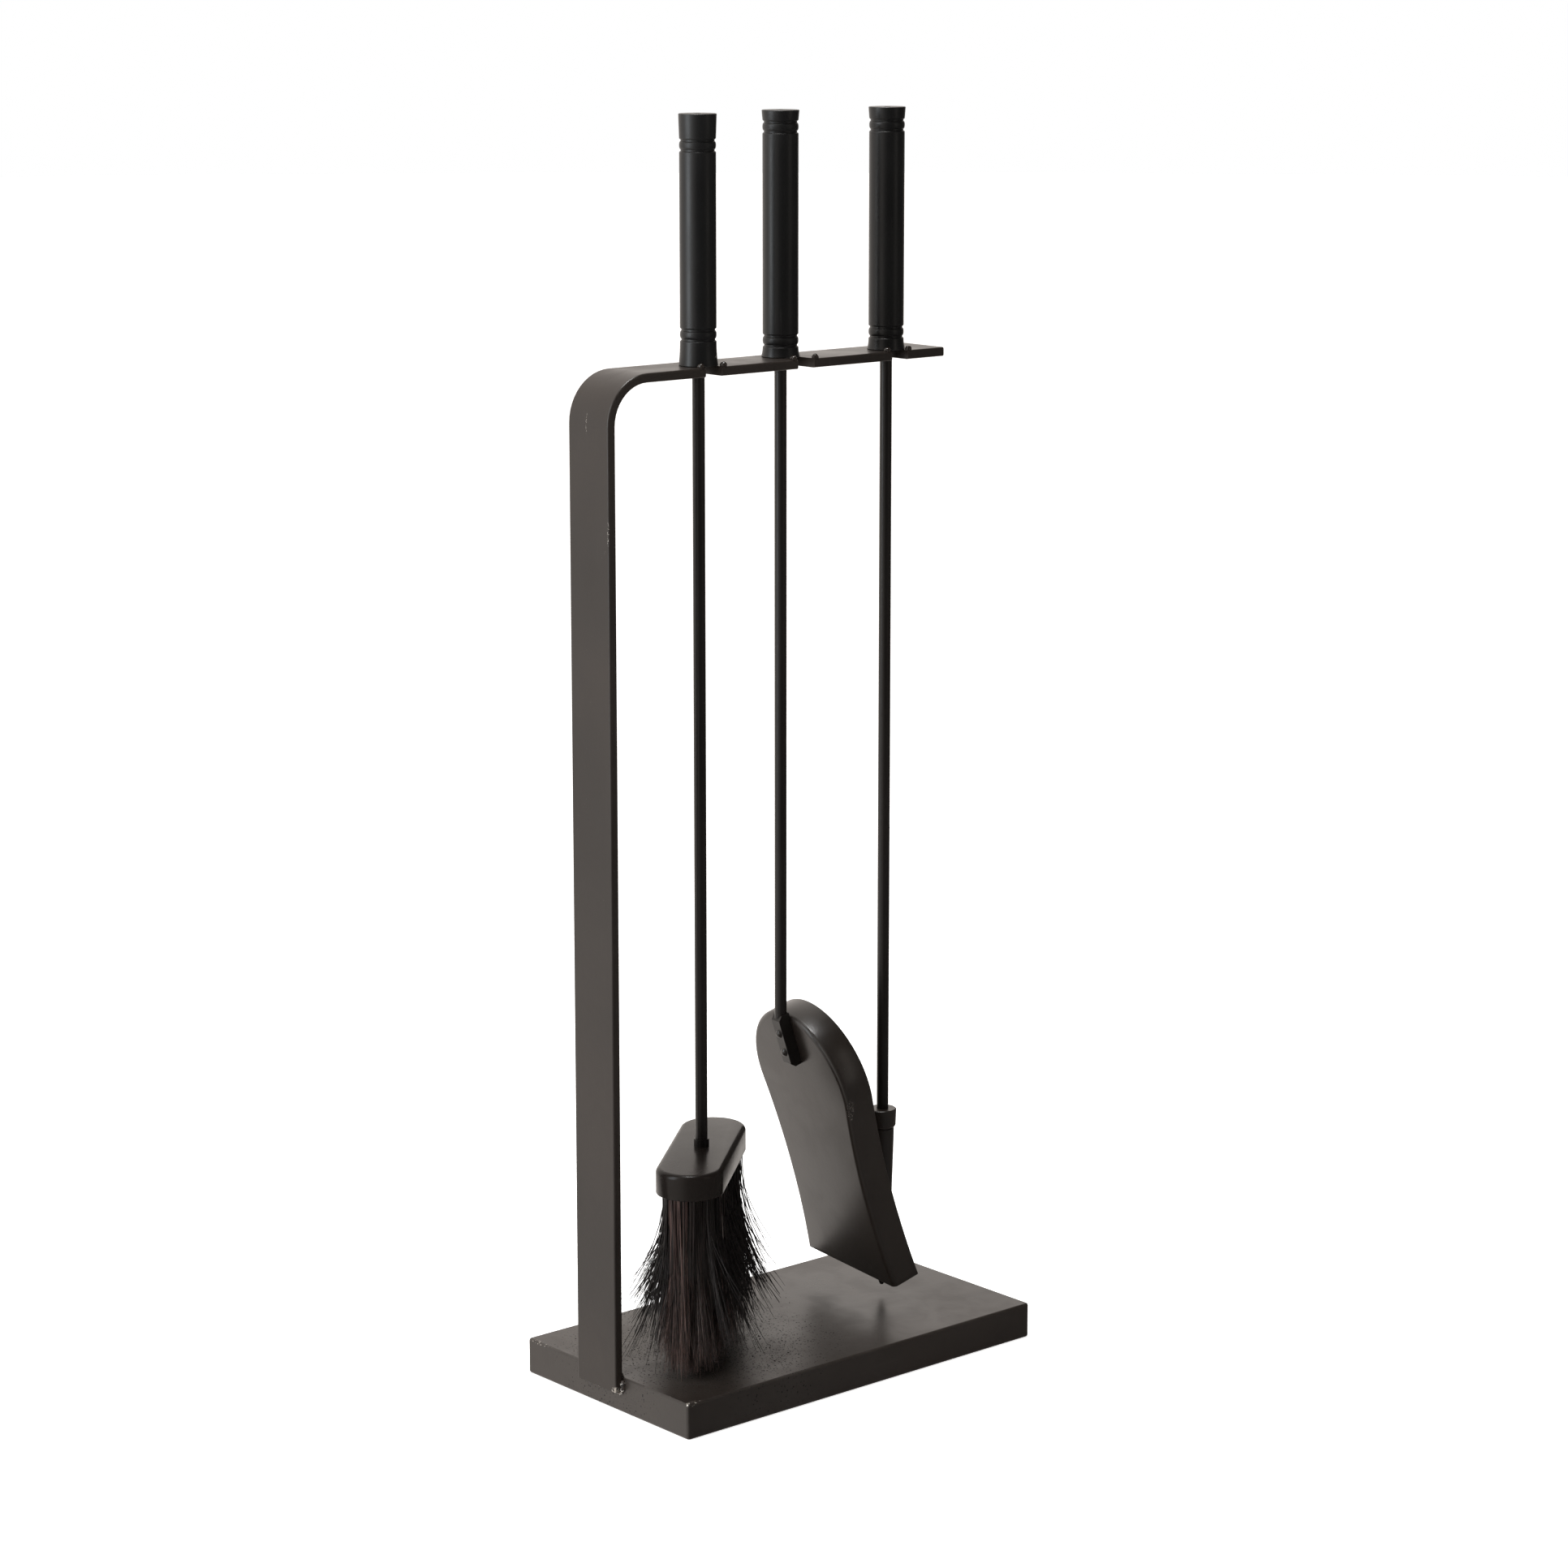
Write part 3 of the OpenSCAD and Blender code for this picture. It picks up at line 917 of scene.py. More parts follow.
    def weld(self) -> None:
        """Lays lumpy fillets where the CAD's straight ones are."""
        rng = random.Random(self.seed)
        bar_low, bar_high = (Vector(c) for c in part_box("stand_bar"))
        plate_low, plate_high = (Vector(c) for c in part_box("base_plate"))
        out = self.weld_out
        x, top, foot = plate_low.x, plate_high.z, bar_low.z
        near, far = bar_low.y, bar_high.y
        side_top = top - 2 * MM
        ends = (
            (Vector((x - out, near - out, side_top)), Vector((x - out, near - out, foot - out))),
            (Vector((x - out, near, foot - out)), Vector((x - out, far, foot - out))),
            (Vector((x - out, far + out, foot - out)), Vector((x - out, far + out, side_top))),
            (Vector((x + out, near + 1 * MM, top + out)), Vector((x + out, far - 1 * MM, top + out))),
        )
        bm = bmesh.new()
        bm.from_mesh(strands("foot_weld_bead", [self.run(start, end, rng) for start, end in ends], 3))
        bmesh.ops.subdivide_edges(bm, edges=bm.edges[:], cuts=1, use_grid_fill=True)
        for vert in bm.verts:
            vert.co += vert.normal * noise.noise(vert.co * 900.0) * self.weld_lump
        smooth(bm)
        put(bm, "foot_weld_bead", WeldBead("weld_paint"), Body.STAND, Slot.WELD, "foot_weld")

    def stop_bead(self, node: str) -> None:
        """Makes one small, slightly uneven bead.

        Args:
            node: The CAD node that it replaces.
        """
        place = centre_of(node)
        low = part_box(node)[0][2]
        bm = bmesh.new()
        bmesh.ops.create_icosphere(bm, subdivisions=4, radius=self.bead_r)
        for vert in bm.verts:
            vert.co *= 1.0 + self.bead_uneven * noise.noise(vert.co * 520.0 + place * 90.0)
        bmesh.ops.translate(bm, verts=bm.verts[:], vec=(place.x, place.y, low + self.bead_lift))
        smooth(bm)
        coat = BlackCoat("bead_coat", roughness=0.24, spread=0.06, lint=0.0)
        put(bm, f"{node}_knob", coat, Body.STAND, Slot.BAR, node)

    def crumbs(self) -> None:
        """Scatters ash and fibre crumbs on the plate around the brush."""
        rng = random.Random(self.seed + 1)
        centre = centre_of("brush_cap")
        low, high = (Vector(c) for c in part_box("base_plate"))
        edge = self.crumb_margin
        bm = bmesh.new()
        for _ in range(self.crumb_count):
            turn = rng.uniform(0, math.tau)
            reach = (0.35 + abs(rng.gauss(0.0, 0.8))) * self.crumb_reach
            x = centre.x + reach * math.cos(turn)
            y = centre.y + reach * math.sin(turn)
            if not (low.x + edge < x < high.x - edge and low.y + edge < y < high.y - edge):
                continue
            size = (0.10 + 0.34 * rng.random() ** 2.5) * MM
            made = bmesh.ops.create_icosphere(bm, subdivisions=1, radius=size)["verts"]
            squash = Matrix.Diagonal((rng.uniform(0.6, 1.9), rng.uniform(0.5, 1.1), 0.55, 1.0))
            turned = Matrix.Rotation(rng.uniform(0, math.pi), 4, "Z")
            place = Matrix.Translation((x, y, high.z + size * 0.35))
            bmesh.ops.transform(bm, matrix=place @ turned @ squash, verts=made)
        smooth(bm)
        ash = Fibre("crumb_ash", (0.006, 0.0045, 0.004), (0.022, 0.016, 0.013), 0.8, faded=0.0)
        put(bm, "ash_crumbs", ash, Body.STAND, Slot.PLATE)


# ---------- brush ----------


@dataclass(frozen=True)
class Tuft:
    """A bunch of fibres that lean and end together."""

    root: Vector
    away: Vector
    lean: Vector
    length: float
    flare: float


@dataclass(frozen=True)
class Habit:
    """How bunches grow: their lean's scatter along and across in mm, and their least and most length."""

    lean: tuple[float, float]
    length: tuple[float, float]


@dataclass(frozen=True)
class Shade:
    """One shade of fibre.

    rim says that its bunches grow at the pack's edge; bunched, that it keeps mostly to half of the bunches.
    """

    name: str
    count: int
    thickness: float
    finish: Fibre
    rim: bool = False
    bunched: bool = False


SHADES = (
    Shade("dark", 3100, 1.0, Fibre("fibre_dark", (0.006, 0.004, 0.0035), (0.020, 0.011, 0.009), faded=0.12)),
    Shade(
        "brown",
        2000,
        0.95,
        Fibre("fibre_brown", (0.026, 0.014, 0.012), (0.110, 0.064, 0.055), faded=0.5),
        bunched=True,
    ),
    Shade("grey", 420, 0.8, Fibre("fibre_grey", (0.07, 0.058, 0.052), (0.20, 0.165, 0.15))),
    Shade(
        "fringe",
        820,
        1.22,
        Fibre("fibre_fringe", (0.004, 0.003, 0.003), (0.012, 0.008, 0.007), faded=0.0),
        rim=True,
    ),
)


@dataclass
class Brush:
    """The brush's rod, cap, stock, nut and thick pack of fibres.

    Flares, root_spread and tip_stray are in millimetres, as ranges or as means and deviations.
    """

    turn: float = math.radians(41.0)
    root_inset: float = 4.0 * MM
    cap_edge_r: float = 3.4 * MM
    cap_t: float = 1.8 * MM
    cap_lip_r: float = 0.4 * MM
    core_steps: tuple[tuple[float, float], ...] = (
        (-20 * MM, 1.02),
        (-30 * MM, 1.03),
        (-30 * MM, 0.90),
        (-16 * MM, 0.62),
    )
    shades: tuple[Shade, ...] = SHADES
    tuft_count: int = 130
    pack_habit: Habit = Habit((3.2, 2.8), (0.84, 1.04))
    rim_habit: Habit = Habit((3.5, 3.0), (0.62, 1.0))
    pack_flare: tuple[float, float] = (3.0, 3.4)
    rim_flare: tuple[float, float] = (6.0, 28.0)
    at_home: float = 0.7
    root_lift: float = 0.5 * MM
    root_spread: tuple[float, float] = (1.5, 1.2)
    tip_stray: float = 1.9
    tip_jitter: float = 0.6
    wave: float = 1.1 * MM
    wave_turn: float = 4.5
    lift_most: float = 0.10
    lift_flare: float = 12 * MM
    hair_steps: int = 7
    hair_r: float = 0.27 * MM
    hair_taper: float = 0.66
    flare_most: float = 30.0 * MM
    post_gap: float = 0.6 * MM
    tip_clearance: float = 1.0 * MM
    seed: int = 5
    centre: Vector = field(init=False)
    cap_box: tuple[Vec, Vec] = field(init=False)
    straight: float = field(init=False)
    half_w: float = field(init=False)
    root_z: float = field(init=False)
    length: float = field(init=False)
    floor: float = field(init=False)
    post_x: float = field(init=False)

    def __post_init__(self) -> None:
        """Measures the head and what stands round it."""
        low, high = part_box("brush_cap")
        across_x, across_y = high[0] - low[0], high[1] - low[1]
        self.centre = centre_of("brush_cap")
        self.cap_box = (low, high)
        self.straight = (across_x - across_y) / (math.cos(self.turn) - math.sin(self.turn)) / 2
        self.half_w = across_x / 2 - self.straight * math.cos(self.turn)
        self.root_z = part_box("bristles")[1][2]
        self.length = self.root_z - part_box("bristles")[0][2]
        self.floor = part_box("base_plate")[1][2] + self.tip_clearance
        self.post_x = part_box("foot_weld")[1][0] + self.post_gap

    def build(self) -> None:
        """Dresses the CAD nodes and makes the cap and the fibres."""
        dress("brush_rod", ROD_COAT)
        dress("brush_collar", ROD_COAT)
        dress("brush_stock", PlainWood("stock_wood"))
        dress("brush_nut", DarkSteel("nut_steel"))
        self.cap()
        self.core()
        self.fibres()

    def turned(self, along: float, across: float) -> Vector:
        """A point or direction in the head's own long and short axes, turned into the frame's."""
        return Matrix.Rotation(self.turn, 3, "Z") @ Vector((along, across, 0.0))

    def obround(self, bm: bmesh.types.BMesh, radius: float, segments: int) -> bmesh.types.BMFace:
        """Makes a level obround face about the origin, as long as the head's straight sides ask.

        Args:
            bm: The mesh to add to.
            radius: The radius of its ends.
            segments: How many edges its two ends have together.

        Returns:
            The face.
        """
        ring = bmesh.ops.create_circle(bm, segments=segments, radius=radius)["verts"]
        step = math.pi / segments
        bmesh.ops.rotate(bm, verts=ring, matrix=Matrix.Rotation(step, 3, "Z"))
        for vert in ring:
            vert.co.x += math.copysign(self.straight, vert.co.x)
        return bm.faces.new(ring)

    def settle(self, bm: bmesh.types.BMesh, z: float) -> None:
        """Turns a mesh made about the origin to the head's heading and moves it to the head."""
        place = Matrix.Translation((self.centre.x, self.centre.y, z)) @ Matrix.Rotation(self.turn, 4, "Z")
        bmesh.ops.transform(bm, matrix=place, verts=bm.verts[:])

    def cap(self) -> None:
        """Presses the cap from one sheet, open below and round at its top edge."""
        low, high = self.cap_box
        bm = bmesh.new()
        top = self.obround(bm, self.half_w, 96)
        rims = top.edges[:]
        made = bmesh.ops.extrude_edge_only(bm, edges=rims)["geom"]
        skirt = [part for part in made if isinstance(part, bmesh.types.BMVert)]
        bmesh.ops.translate(bm, verts=skirt, vec=(0, 0, low[2] - high[2]))
        round_over(bm, rims, self.cap_edge_r, 8, clamp=False)
        bmesh.ops.recalc_face_normals(bm, faces=bm.faces[:])
        if max(bm.faces, key=lambda f: f.calc_area()).normal.z < 0:
            bmesh.ops.reverse_faces(bm, faces=bm.faces[:])
        self.settle(bm, high[2])
        smooth(bm)
        coat = BlackCoat(
            "cap_coat",
            colour=(0.0070, 0.0056, 0.0048),
            tint=(0.0110, 0.0086, 0.0074),
            roughness=0.24,
            spread=0.05,
            scratch_axis=0,
            lint=0.5,
            scratches=0.3,
            specular=0.14,
        )
        piece = put(bm, "pressed_cap", coat, Body.BRUSH, Slot.CAP, "brush_cap")
        give_wall(piece, self.cap_t, self.cap_lip_r)

    def core(self) -> None:
        """A dark rough body inside the fibres, so that no light shows through them."""
        bm = bmesh.new()
        face = self.obround(bm, (self.half_w - self.root_inset) * 0.9, 64)
        for drop, scale in self.core_steps:
            face = self.step(bm, face, drop, scale)
        bmesh.ops.contextual_create(bm, geom=[edge for edge in bm.edges if edge.is_boundary])
        bmesh.ops.recalc_face_normals(bm, faces=bm.faces[:])
        self.settle(bm, self.root_z)
        smooth(bm)
        finish = Fibre("core_fibre", (0.004, 0.003, 0.0025), (0.010, 0.006, 0.005), 0.7, faded=0.05)
        put(bm, "bristle_core", finish, Body.BRUSH, Slot.BRISTLE, "bristles")

    def step(
        self,
        bm: bmesh.types.BMesh,
        face: bmesh.types.BMFace,
        drop: float,
        scale: float,
    ) -> bmesh.types.BMFace:
        """Extrudes a face down and scales it about its middle.

        Args:
            bm: The mesh.
            face: The face to extrude.
            drop: How far it moves along Z.
            scale: The new face's size against the old one's.

        Returns:
            The new face.
        """
        made = bmesh.ops.extrude_face_region(bm, geom=[face])["geom"]
        new_face = next(part for part in made if isinstance(part, bmesh.types.BMFace))
        if face.is_valid:
            bm.faces.remove(face)
        verts = list(new_face.verts)
        bmesh.ops.translate(bm, verts=verts, vec=(0, 0, drop))
        middle = new_face.calc_center_median()
        bmesh.ops.scale(bm, vec=(scale, scale, 1.0), space=Matrix.Translation(-middle), verts=verts)
        return new_face

    def tuft(self, rng: random.Random, rim: bool) -> Tuft:
        """Places one bunch of fibres.

        Args:
            rng: The source of randomness.
            rim: Whether it grows at the pack's edge and leans out of it.

        Returns:
            The bunch.
        """
        radius = self.half_w - self.root_inset
        depth = rng.uniform(0.85, 1.0) if rim else math.sqrt(rng.random())
        turn = rng.choice((-0.5, 0.5)) * math.pi + rng.gauss(0, 0.45) if rim else rng.uniform(0, math.tau)
        reach = rng.uniform(-1.0, 1.0) * self.straight
        if abs(math.cos(turn)) > 0.6:
            reach = math.copysign(self.straight, math.cos(turn))
        along = reach + radius * depth * math.cos(turn)
        across = radius * depth * math.sin(turn)
        away = self.turned(math.cos(turn) * 0.9, math.sin(turn)).normalized()
        middle = Vector((self.centre.x, self.centre.y, self.root_z + self.root_lift))
        habit = self.rim_habit if rim else self.pack_habit
        lean = self.turned(rng.gauss(0, habit.lean[0]), rng.gauss(0, habit.lean[1])) * MM
        length = self.length * rng.uniform(*habit.length)
        flare = rng.uniform(*self.rim_flare) if rim else rng.gauss(*self.pack_flare) * depth
        return Tuft(middle + self.turned(along, across), away, lean, length, flare * MM)

    def hair(self, rng: random.Random, tuft: Tuft, thickness: float, loose: float) -> TubePath:
        """One fibre's path from its root to its tip.

        Args:
            rng: The source of randomness.
            tuft: The bunch that it grows in.
            thickness: The radius at its root.
            loose: How far it strays from its bunch, about 1.

        Returns:
            Its points and their radii.
        """
        spread_along, spread_across = self.root_spread
        root = tuft.root + self.turned(rng.gauss(0, spread_along), rng.gauss(0, spread_across)) * MM
        length = tuft.length * rng.gauss(0.98, 0.045 * loose)
        flare = min(tuft.flare * rng.gauss(1.0, 0.28 * loose), self.flare_most)
        stray = self.turned(rng.gauss(0, self.tip_stray), rng.gauss(0, self.tip_stray)) * MM * loose
        wave = Vector((rng.uniform(-1, 1), rng.uniform(-1, 1), 0)) * self.wave
        phase = rng.uniform(0, math.tau)
        stem = tuft.root - root
        lift = self.lift_most * rng.random() * min(1.0, abs(flare) / self.lift_flare)
        path = []
        for i in range(self.hair_steps):
            t = i / (self.hair_steps - 1)
            place = root + tuft.away * flare * t**2.1 + tuft.lean * t**1.2 + stray * t**2
            place += stem * 0.45 * t + wave * math.sin(phase + self.wave_turn * t) * t
            lowest = self.floor + rng.uniform(0.0, self.tip_jitter) * MM
            place.x = max(place.x, self.post_x)
            place.z = max(root.z - length * (t - lift * t * t), lowest)
            path.append((place, thickness * (1.0 - self.hair_taper * t**1.6)))
        return path

    def fibres(self) -> None:
        """Makes the fibres, one piece for each shade."""
        rng = random.Random(self.seed)
        pack = [self.tuft(rng, False) for _ in range(self.tuft_count)]
        fringe = [self.tuft(rng, True) for _ in range(self.tuft_count)]
        for shade in self.shades:
            tufts = fringe if shade.rim else pack
            home = tufts[: len(tufts) // 2] if shade.bunched else tufts
            paths = []
            for _ in range(shade.count):
                tuft = rng.choice(home if rng.random() < self.at_home else tufts)
                radius = self.hair_r * shade.thickness * rng.uniform(0.8, 1.15)
                paths.append(self.hair(rng, tuft, radius, rng.uniform(0.4, 1.8)))
            name = f"bristle_{shade.name}"
            put(strands(name, paths), name, shade.finish, Body.BRUSH, Slot.BRISTLE, "bristles")


# ---------- shovel ----------


@dataclass
class Shovel:
    """The shovel's rod, rivets and folded pan. The pan's sizes are the CAD pan's."""

    tilt: float = math.radians(17.5)
    turn: float = math.radians(-6.5)
    lean: float = math.radians(1.4)
    arch_r: float = 52 * MM
    waist: float = 45 * MM
    waist_drop: float = 78 * MM
    length: float = 198 * MM
    depth: float = 21 * MM
    sheet: float = 1.5 * MM
    fold_r: float = 3.6 * MM
    worn_drop: float = 66 * MM
    lip_r: float = 0.6 * MM
    arch_steps: int = 72
    side_steps: int = 40

    def build(self) -> None:
        """Dresses the CAD nodes and makes the pan."""
        dress("shovel_rod", ROD_COAT)
        rivet = BlackCoat("rivet_coat", roughness=0.36, tint=(0.045, 0.034, 0.028), lint=0.0)
        dress("shovel_rivet_upper", rivet)
        dress("shovel_rivet_lower", rivet)
        self.pan()

    def arc(self, x: float, v: float, r: float, turns: tuple[float, float], steps: int) -> list[Vector]:
        """Points along an arc in the pan's plane, with Y across it and Z up it.

        Args:
            x: Where its centre lies across the pan.
            v: Where its centre lies up the pan.
            r: Its radius.
            turns: The angles at which it starts and ends.
            steps: Its number of steps.

        Returns:
            The points.
        """
        start, end = turns
        angles = (start + (end - start) * i / steps for i in range(steps + 1))
        return [Vector((0.0, x + r * math.cos(t), v + r * math.sin(t))) for t in angles]

    def outline(self) -> list[Vector]:
        """The pan's outline.

        Returns:
            Points from one corner of the mouth round the top to the other.
        """
        side_r = (self.waist**2 + self.waist_drop**2 - self.arch_r**2) / (2 * (self.arch_r - self.waist))
        side_x = self.waist + side_r
        waist_v = self.arch_r + self.waist_drop
        join = math.atan2(self.waist_drop, side_x)
        mouth = math.asin((self.length - waist_v) / side_r)
        step = (math.pi + 2 * join) / self.arch_steps
        top_turns = (step - join, math.pi + join - step)
        right = self.arc(side_x, -waist_v, side_r, (math.pi + mouth, math.pi - join), self.side_steps)
        top = self.arc(0.0, -self.arch_r, self.arch_r, top_turns, self.arch_steps - 2)
        left = self.arc(-side_x, -waist_v, side_r, (join, -mouth), self.side_steps)
        return right + top + left

    def pan(self) -> None:
        """Folds the pan from one sheet: floor, walls, a rounded fold and a thickness."""
        bm = bmesh.new()
        verts = [bm.verts.new(p) for p in self.outline()]
        floor = bm.faces.new(verts)
        rims = [edge for edge in floor.edges if {edge.verts[0], edge.verts[1]} != {verts[0], verts[-1]}]
        made = bmesh.ops.extrude_edge_only(bm, edges=rims)["geom"]
        raised = [part for part in made if isinstance(part, bmesh.types.BMVert)]
        bmesh.ops.translate(bm, verts=raised, vec=(self.depth, 0, 0))
        round_over(bm, rims, self.fold_r, 6)
        bmesh.ops.remove_doubles(bm, verts=bm.verts[:], dist=1e-6)
        bmesh.ops.recalc_face_normals(bm, faces=bm.faces[:])
        outer = max(bm.faces, key=lambda f: f.calc_area())
        if outer.normal.x > 0:
            bmesh.ops.reverse_faces(bm, faces=bm.faces[:])
        place = Matrix.Rotation(self.turn, 4, "Z") @ Matrix.Rotation(-self.tilt, 4, "Y")
        place = place @ Matrix.Rotation(self.lean, 4, "X")
        bmesh.ops.transform(bm, matrix=place, verts=bm.verts[:])
        low = Vector(min(v.co[i] for v in bm.verts) for i in range(3))
        high = Vector(max(v.co[i] for v in bm.verts) for i in range(3))
        shift = centre_of("shovel_pan") - (low + high) / 2
        bmesh.ops.translate(bm, verts=bm.verts[:], vec=shift)
        smooth(bm)
        fold = place @ Vector((0.0, -self.arch_r, -self.worn_drop)) + shift
        worn = Mark(tuple(fold), (4 * MM, 4 * MM, 15 * MM), 1500.0, 0.35)
        finish = BlackCoat("pan_coat", roughness=0.33, spread=0.08, lint=0.25, scratches=0.6, marks=(worn,))
        piece = put(bm, "folded_pan", finish, Body.SHOVEL, Slot.PAN, "shovel_pan")
        give_wall(piece, self.sheet, self.lip_r)


# ---------- poker ----------


@dataclass
class Poker:
    """The poker's rod and turned point."""

    point_roughness: float = 0.36
    point_lint: float = 0.3

    def build(self) -> None:
        """Dresses the CAD nodes."""
        dress("poker_rod", ROD_COAT)
        dress("poker_point", BlackCoat("point_coat", roughness=self.point_roughness, lint=self.point_lint))


# ---------- handles ----------


@dataclass
class Handles:
    """The three turned handles and the screws sunk in their tops. The sizes are the CAD handles'."""

    end_l: tuple[tuple[str, float], ...] = (("brush", 16 * MM), ("shovel", 7 * MM), ("poker", 8 * MM))
    r: float = 11.6 * MM
    foot_r: float = 12.5 * MM
    top_r: float = 12.1 * MM
    bead_w: float = 5 * MM
    groove_w: float = 1.2 * MM
    groove_depth: float = 0.9 * MM
    shoulder: float = 1 * MM
    belly: float = 0.46
    rim_r: float = 0.5 * MM
    hole_r: float = 2.55 * MM
    arc_steps: int = 8
    rim_steps: int = 4
    turn_steps: int = 112

    def build(self) -> None:
        """Turns the handles and dresses the screws."""
        for tool, end_l in self.end_l:
            self.handle(tool, end_l)
            dress(f"{tool}_lock_screw", DarkSteel("screw_steel"))

    def curl(self, z: float, height: float, rising: bool) -> list[tuple[float, float]]:
        """A quarter curve between a groove's floor and the outside.

        Args:
            z: The height of the groove's side.
            height: How far the curve reaches from it; below 0 it reaches down.
            rising: Whether it runs out of the groove rather than into it.

        Returns:
            Its radii and heights.
        """
        turns = [math.pi / 2 * i / self.arc_steps for i in range(self.arc_steps + 1)]
        depths = [self.groove_depth * (1 - math.sin(t)) for t in turns]
        points = [(self.r - depth, z + height * (1 - math.cos(t))) for depth, t in zip(depths, turns)]
        return points if rising else points[::-1]

    def stretch(self, low: float, high: float, shoulder: float) -> list[tuple[float, float]]:
        """The outline of a stretch between two grooves, curling into both."""
        return self.curl(low, shoulder, True) + self.curl(high, -shoulder, False)

    def foot(self, end_l: float) -> list[tuple[float, float]]:
        """The outline of the foot, which flares downwards.

        Args:
            end_l: The length of the handle's plain ends.

        Returns:
            Its radii and heights.
        """
        points = []
        for i in range(self.arc_steps + 1):
            s = i / self.arc_steps
            flare = (self.foot_r - self.r) * (1 - s) ** 2
            points.append((self.r + flare, self.rim_r + s * (end_l - self.rim_r - self.shoulder)))
        return points

    def rim(self, length: float) -> list[tuple[float, float]]:
        """The outline of the rounded edge at a handle's top.

        Args:
            length: The handle's length.

        Returns:
            Its radii and heights.
        """
        turns = (math.pi / 2 * i / self.rim_steps for i in range(self.rim_steps + 1))
        r, z = self.top_r - self.rim_r, length - self.rim_r
        return [(r + self.rim_r * math.cos(t), z + self.rim_r * math.sin(t)) for t in turns]

    def handle(self, tool: str, end_l: float) -> None:
        """Turns one handle.

        Args:
            tool: The tool's name.
            end_l: The length of its plain ends.
        """
        low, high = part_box(f"{tool}_handle")
        length = high[2] - low[2]
        bead_0 = end_l + self.groove_w
        body_0 = bead_0 + self.bead_w + self.groove_w
        bead_1 = length - body_0 + self.groove_w
        belly = self.bead_w * self.belly
        screw_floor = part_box(f"{tool}_lock_screw")[0][2] - low[2]
        profile = [(0.0, 0.0), (self.foot_r - self.rim_r, 0.0), *self.foot(end_l)]
        profile += self.curl(end_l, -self.shoulder, False)
        profile += self.stretch(bead_0, bead_0 + self.bead_w, belly)
        profile += self.stretch(body_0, length - body_0, self.shoulder)
        profile += self.stretch(bead_1, bead_1 + self.bead_w, belly)
        profile += self.curl(length - end_l, self.shoulder, True)
        profile += [*self.rim(length), (self.hole_r, length), (self.hole_r, screw_floor), (0.0, screw_floor)]
        nick_at = (low[0] + 20 * MM, low[1] + 3 * MM, low[2] + 6 * MM)
        nick = Mark(nick_at, (4 * MM, 5 * MM, 0.8 * MM), 1800.0, 0.6)
        coat = BlackCoat(
            f"{tool}_handle_coat",
            colour=(0.0038, 0.0038, 0.0040),
            tint=(0.0070, 0.0070, 0.0073),
            roughness=0.37,
            spread=0.08,
            specular=0.32,
            grain=0.00002,
            lint=0.12,
            scratches=0.35,
            marks=(nick,) if tool == "brush" else (),
        )
        middle = centre_of(f"{tool}_handle")
        bm = lathe(profile, (middle.x, middle.y, low[2]), self.turn_steps)
        put(bm, f"turned_{tool}_handle", coat, Body(tool), Slot.HANDLE, f"{tool}_handle")


# ---------- studio ----------


@dataclass(frozen=True)
class Softbox:
    """One rectangular area light: where it stands, what it points at, its size, watts and colour."""

    name: str
    at: Vec
    aim: Vec
    size: tuple[float, float]
    power: float
    colour: Colour

    def build(self) -> None:
        """Makes the light."""
        data = bpy.data.lights.new(self.name, "AREA")
        data.shape = "RECTANGLE"
        data.size, data.size_y = self.size
        data.energy = self.power
        data.color = self.colour
        light = bpy.data.objects.new(self.name, data)
        light.location = self.at
        light.rotation_euler = (Vector(self.aim) - Vector(self.at)).to_track_quat("-Z", "Y").to_euler()
        bpy.context.scene.collection.objects.link(light)


SOFTBOXES = (
    Softbox("left_softbox", (-1.9, 0.35, 1.0), (0, 0, 0.5), (0.75, 1.9), 26.0, (0.86, 0.94, 1.0)),
    Softbox("top_softbox", (-0.15, 0.05, 2.4), (0, 0, 0.3), (0.5, 0.5), 36.0, (1.0, 1.0, 1.0)),
    Softbox("right_card", (0.7, -1.7, 1.0), (0, 0, 0.5), (0.30, 1.6), 1.6, (1.0, 0.93, 0.85)),
)


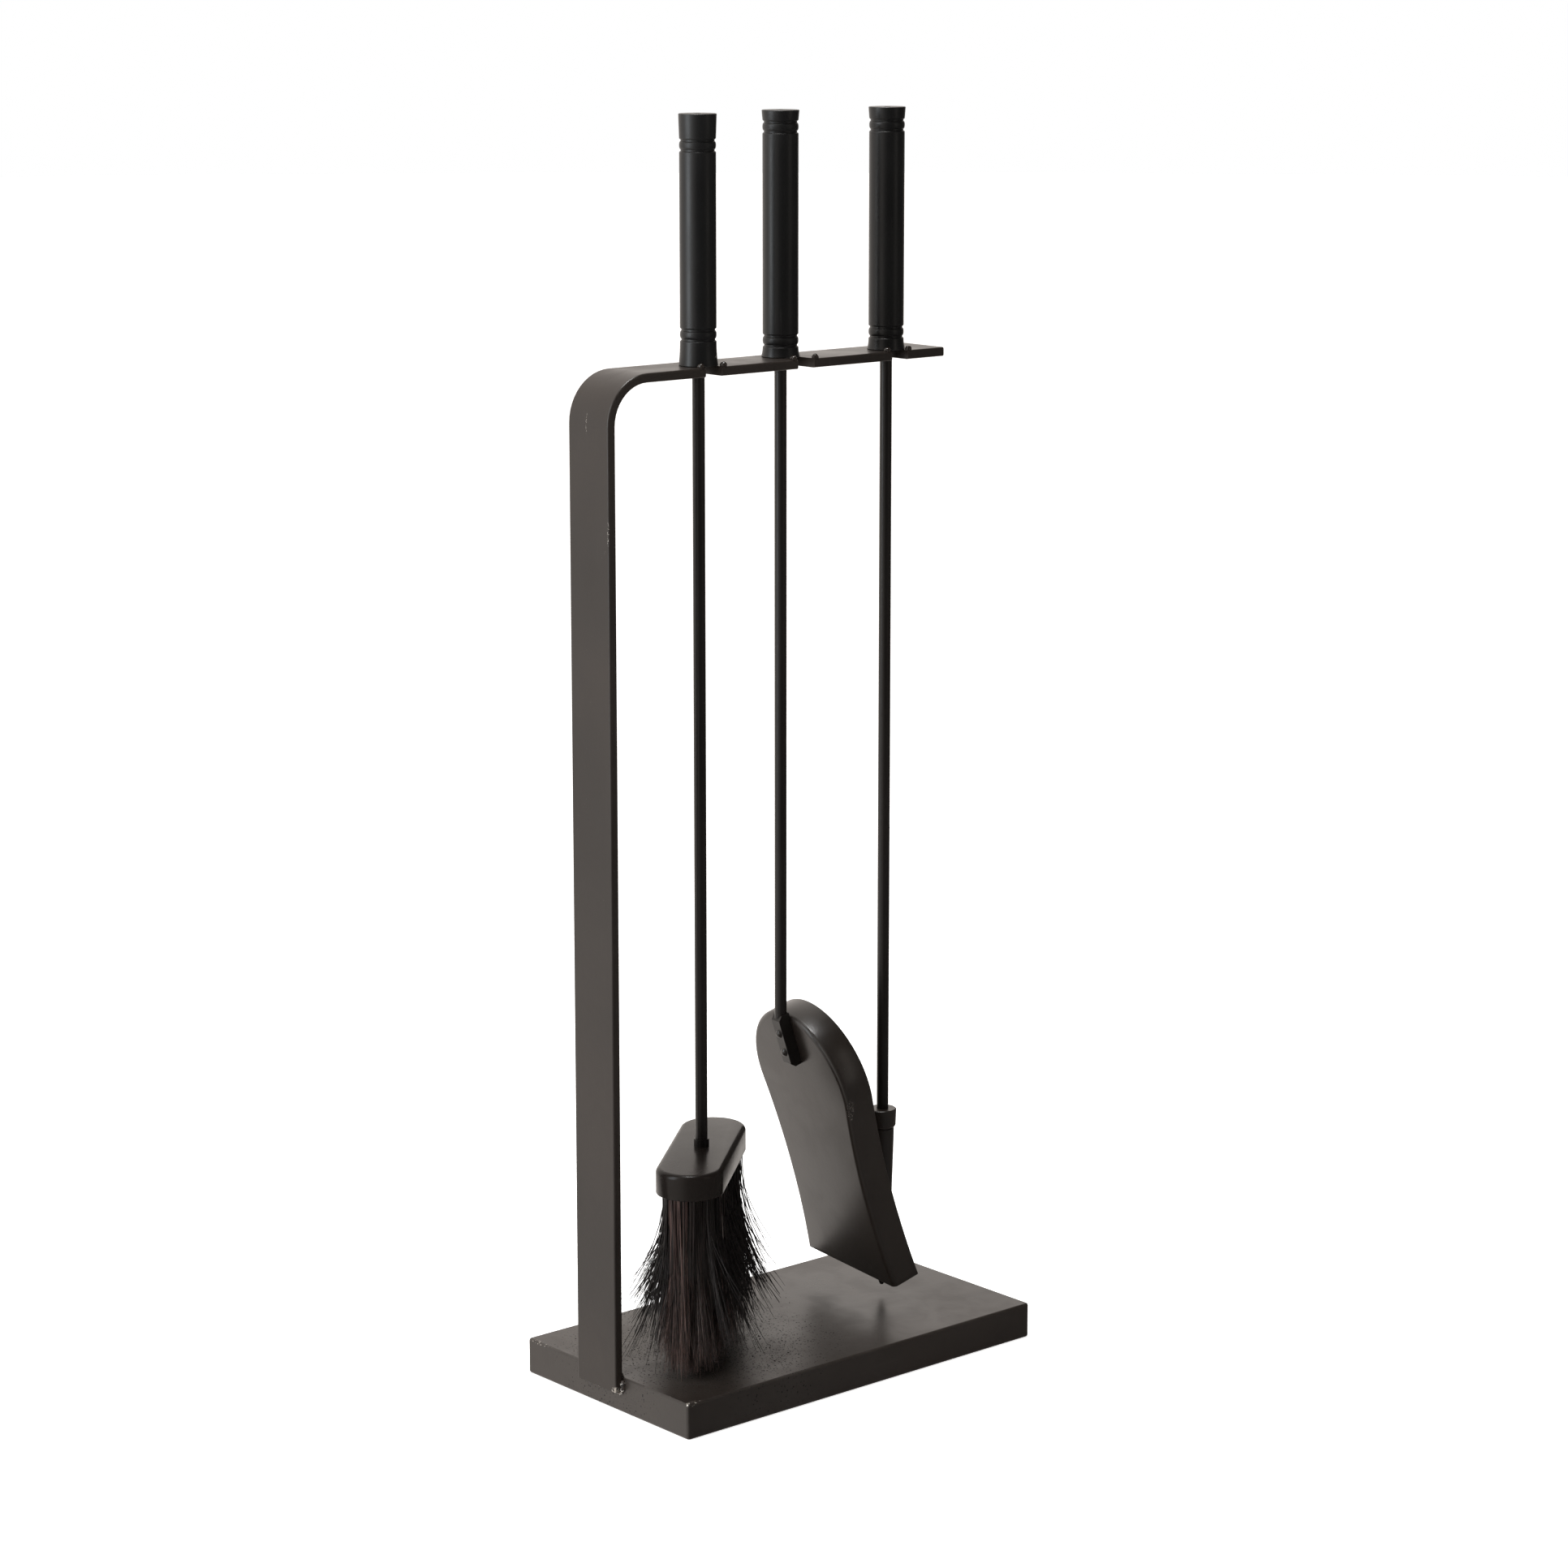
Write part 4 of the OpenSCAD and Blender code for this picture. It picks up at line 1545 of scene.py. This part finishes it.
@dataclass
class Studio:
    """Floor, surround, soft lights and camera."""

    floor_r: float = 14.0
    floor_steps: int = 96
    floor_paint: Colour = (0.80, 0.80, 0.80)
    floor_glow: float = 0.75
    white: Colour = (1.0, 1.0, 1.0)
    warm: Colour = (1.0, 0.93, 0.87)
    bright_heading: Vec = (-0.45, 0.89, 0.0)
    heading_blend: float = 0.35
    bright: float = 1.15
    dim: float = 0.09
    softboxes: tuple[Softbox, ...] = SOFTBOXES
    lens: float = 93.57
    sensor: float = 36.0
    clip: tuple[float, float] = (0.05, 50.0)
    camera_at: Vec = (-1.7147, -1.9859, 0.9409)
    pitch: float = 10.797
    yaw: float = 49.159
    shift_y: float = -0.045

    def build(self) -> None:
        """Makes the floor, the surround, the lights and the camera."""
        bpy.context.scene.view_settings.view_transform = "Standard"
        self.floor()
        self.surround()
        for softbox in self.softboxes:
            softbox.build()
        self.camera()

    def floor(self) -> None:
        """A wide pale disc that glows a little, as a lit table does, and isn't mirrored in the coat."""
        bm = bmesh.new()
        bmesh.ops.create_circle(bm, cap_ends=True, segments=self.floor_steps, radius=self.floor_r)
        mesh = bpy.data.meshes.new("floor")
        bm.to_mesh(mesh)
        bm.free()
        floor = bpy.data.objects.new("floor", mesh)
        bpy.context.scene.collection.objects.link(floor)
        paint = bpy.data.materials.new("floor_paint")
        Graph(paint).finish(
            {
                "Base Color": (*self.floor_paint, 1.0),
                "Roughness": 0.8,
                "Specular IOR Level": 0.1,
                "Emission Color": (*self.white, 1.0),
                "Emission Strength": self.floor_glow,
            }
        )
        mesh.materials.append(paint)
        floor.visible_glossy = False

    def surround(self) -> None:
        """White to the eye, it lights the set warmly from one side of it and dimly from the other."""
        world = bpy.data.worlds.new("surround")
        bpy.context.scene.world = world
        g = Graph(world)
        sight = g.add("ShaderNodeTexCoord", output="Generated")
        heading = g.add(
            "ShaderNodeVectorMath", {"operation": "DOT_PRODUCT"}, {0: sight, 1: self.bright_heading}, "Value"
        )
        ramp = {
            "Value": heading,
            "From Min": -self.heading_blend,
            "From Max": self.heading_blend,
            "To Min": self.dim,
            "To Max": self.bright,
        }
        strength = g.add("ShaderNodeMapRange", {"interpolation_type": Blend.SMOOTH.value}, ramp)
        lit = g.add("ShaderNodeBackground", None, {"Color": (*self.warm, 1.0), "Strength": strength})
        seen = g.add("ShaderNodeBackground", None, {"Color": (*self.white, 1.0)})
        to_eye = g.add("ShaderNodeLightPath", output="Is Camera Ray")
        g.end(g.add("ShaderNodeMixShader", None, {0: to_eye, 1: lit, 2: seen}), "ShaderNodeOutputWorld")

    def camera(self) -> None:
        """The camera, at the viewing angle."""
        data = bpy.data.cameras.new("camera")
        data.lens = self.lens
        data.sensor_width = self.sensor
        data.shift_y = self.shift_y
        data.clip_start, data.clip_end = self.clip
        camera = bpy.data.objects.new("camera", data)
        camera.location = self.camera_at
        camera.rotation_euler = (math.radians(90 - self.pitch), 0.0, math.radians(self.yaw - 90))
        bpy.context.scene.collection.objects.link(camera)
        bpy.context.scene.camera = camera


def main() -> None:
    """Builds the sub-assemblies in order and reports each."""
    logging.basicConfig(level=logging.INFO, format="%(message)s")
    for part in (Studio(), Stand(), Handles(), Brush(), Shovel(), Poker()):
        part.build()
        log.info("built %s", type(part).__name__)


if __name__ == "__main__":
    main()
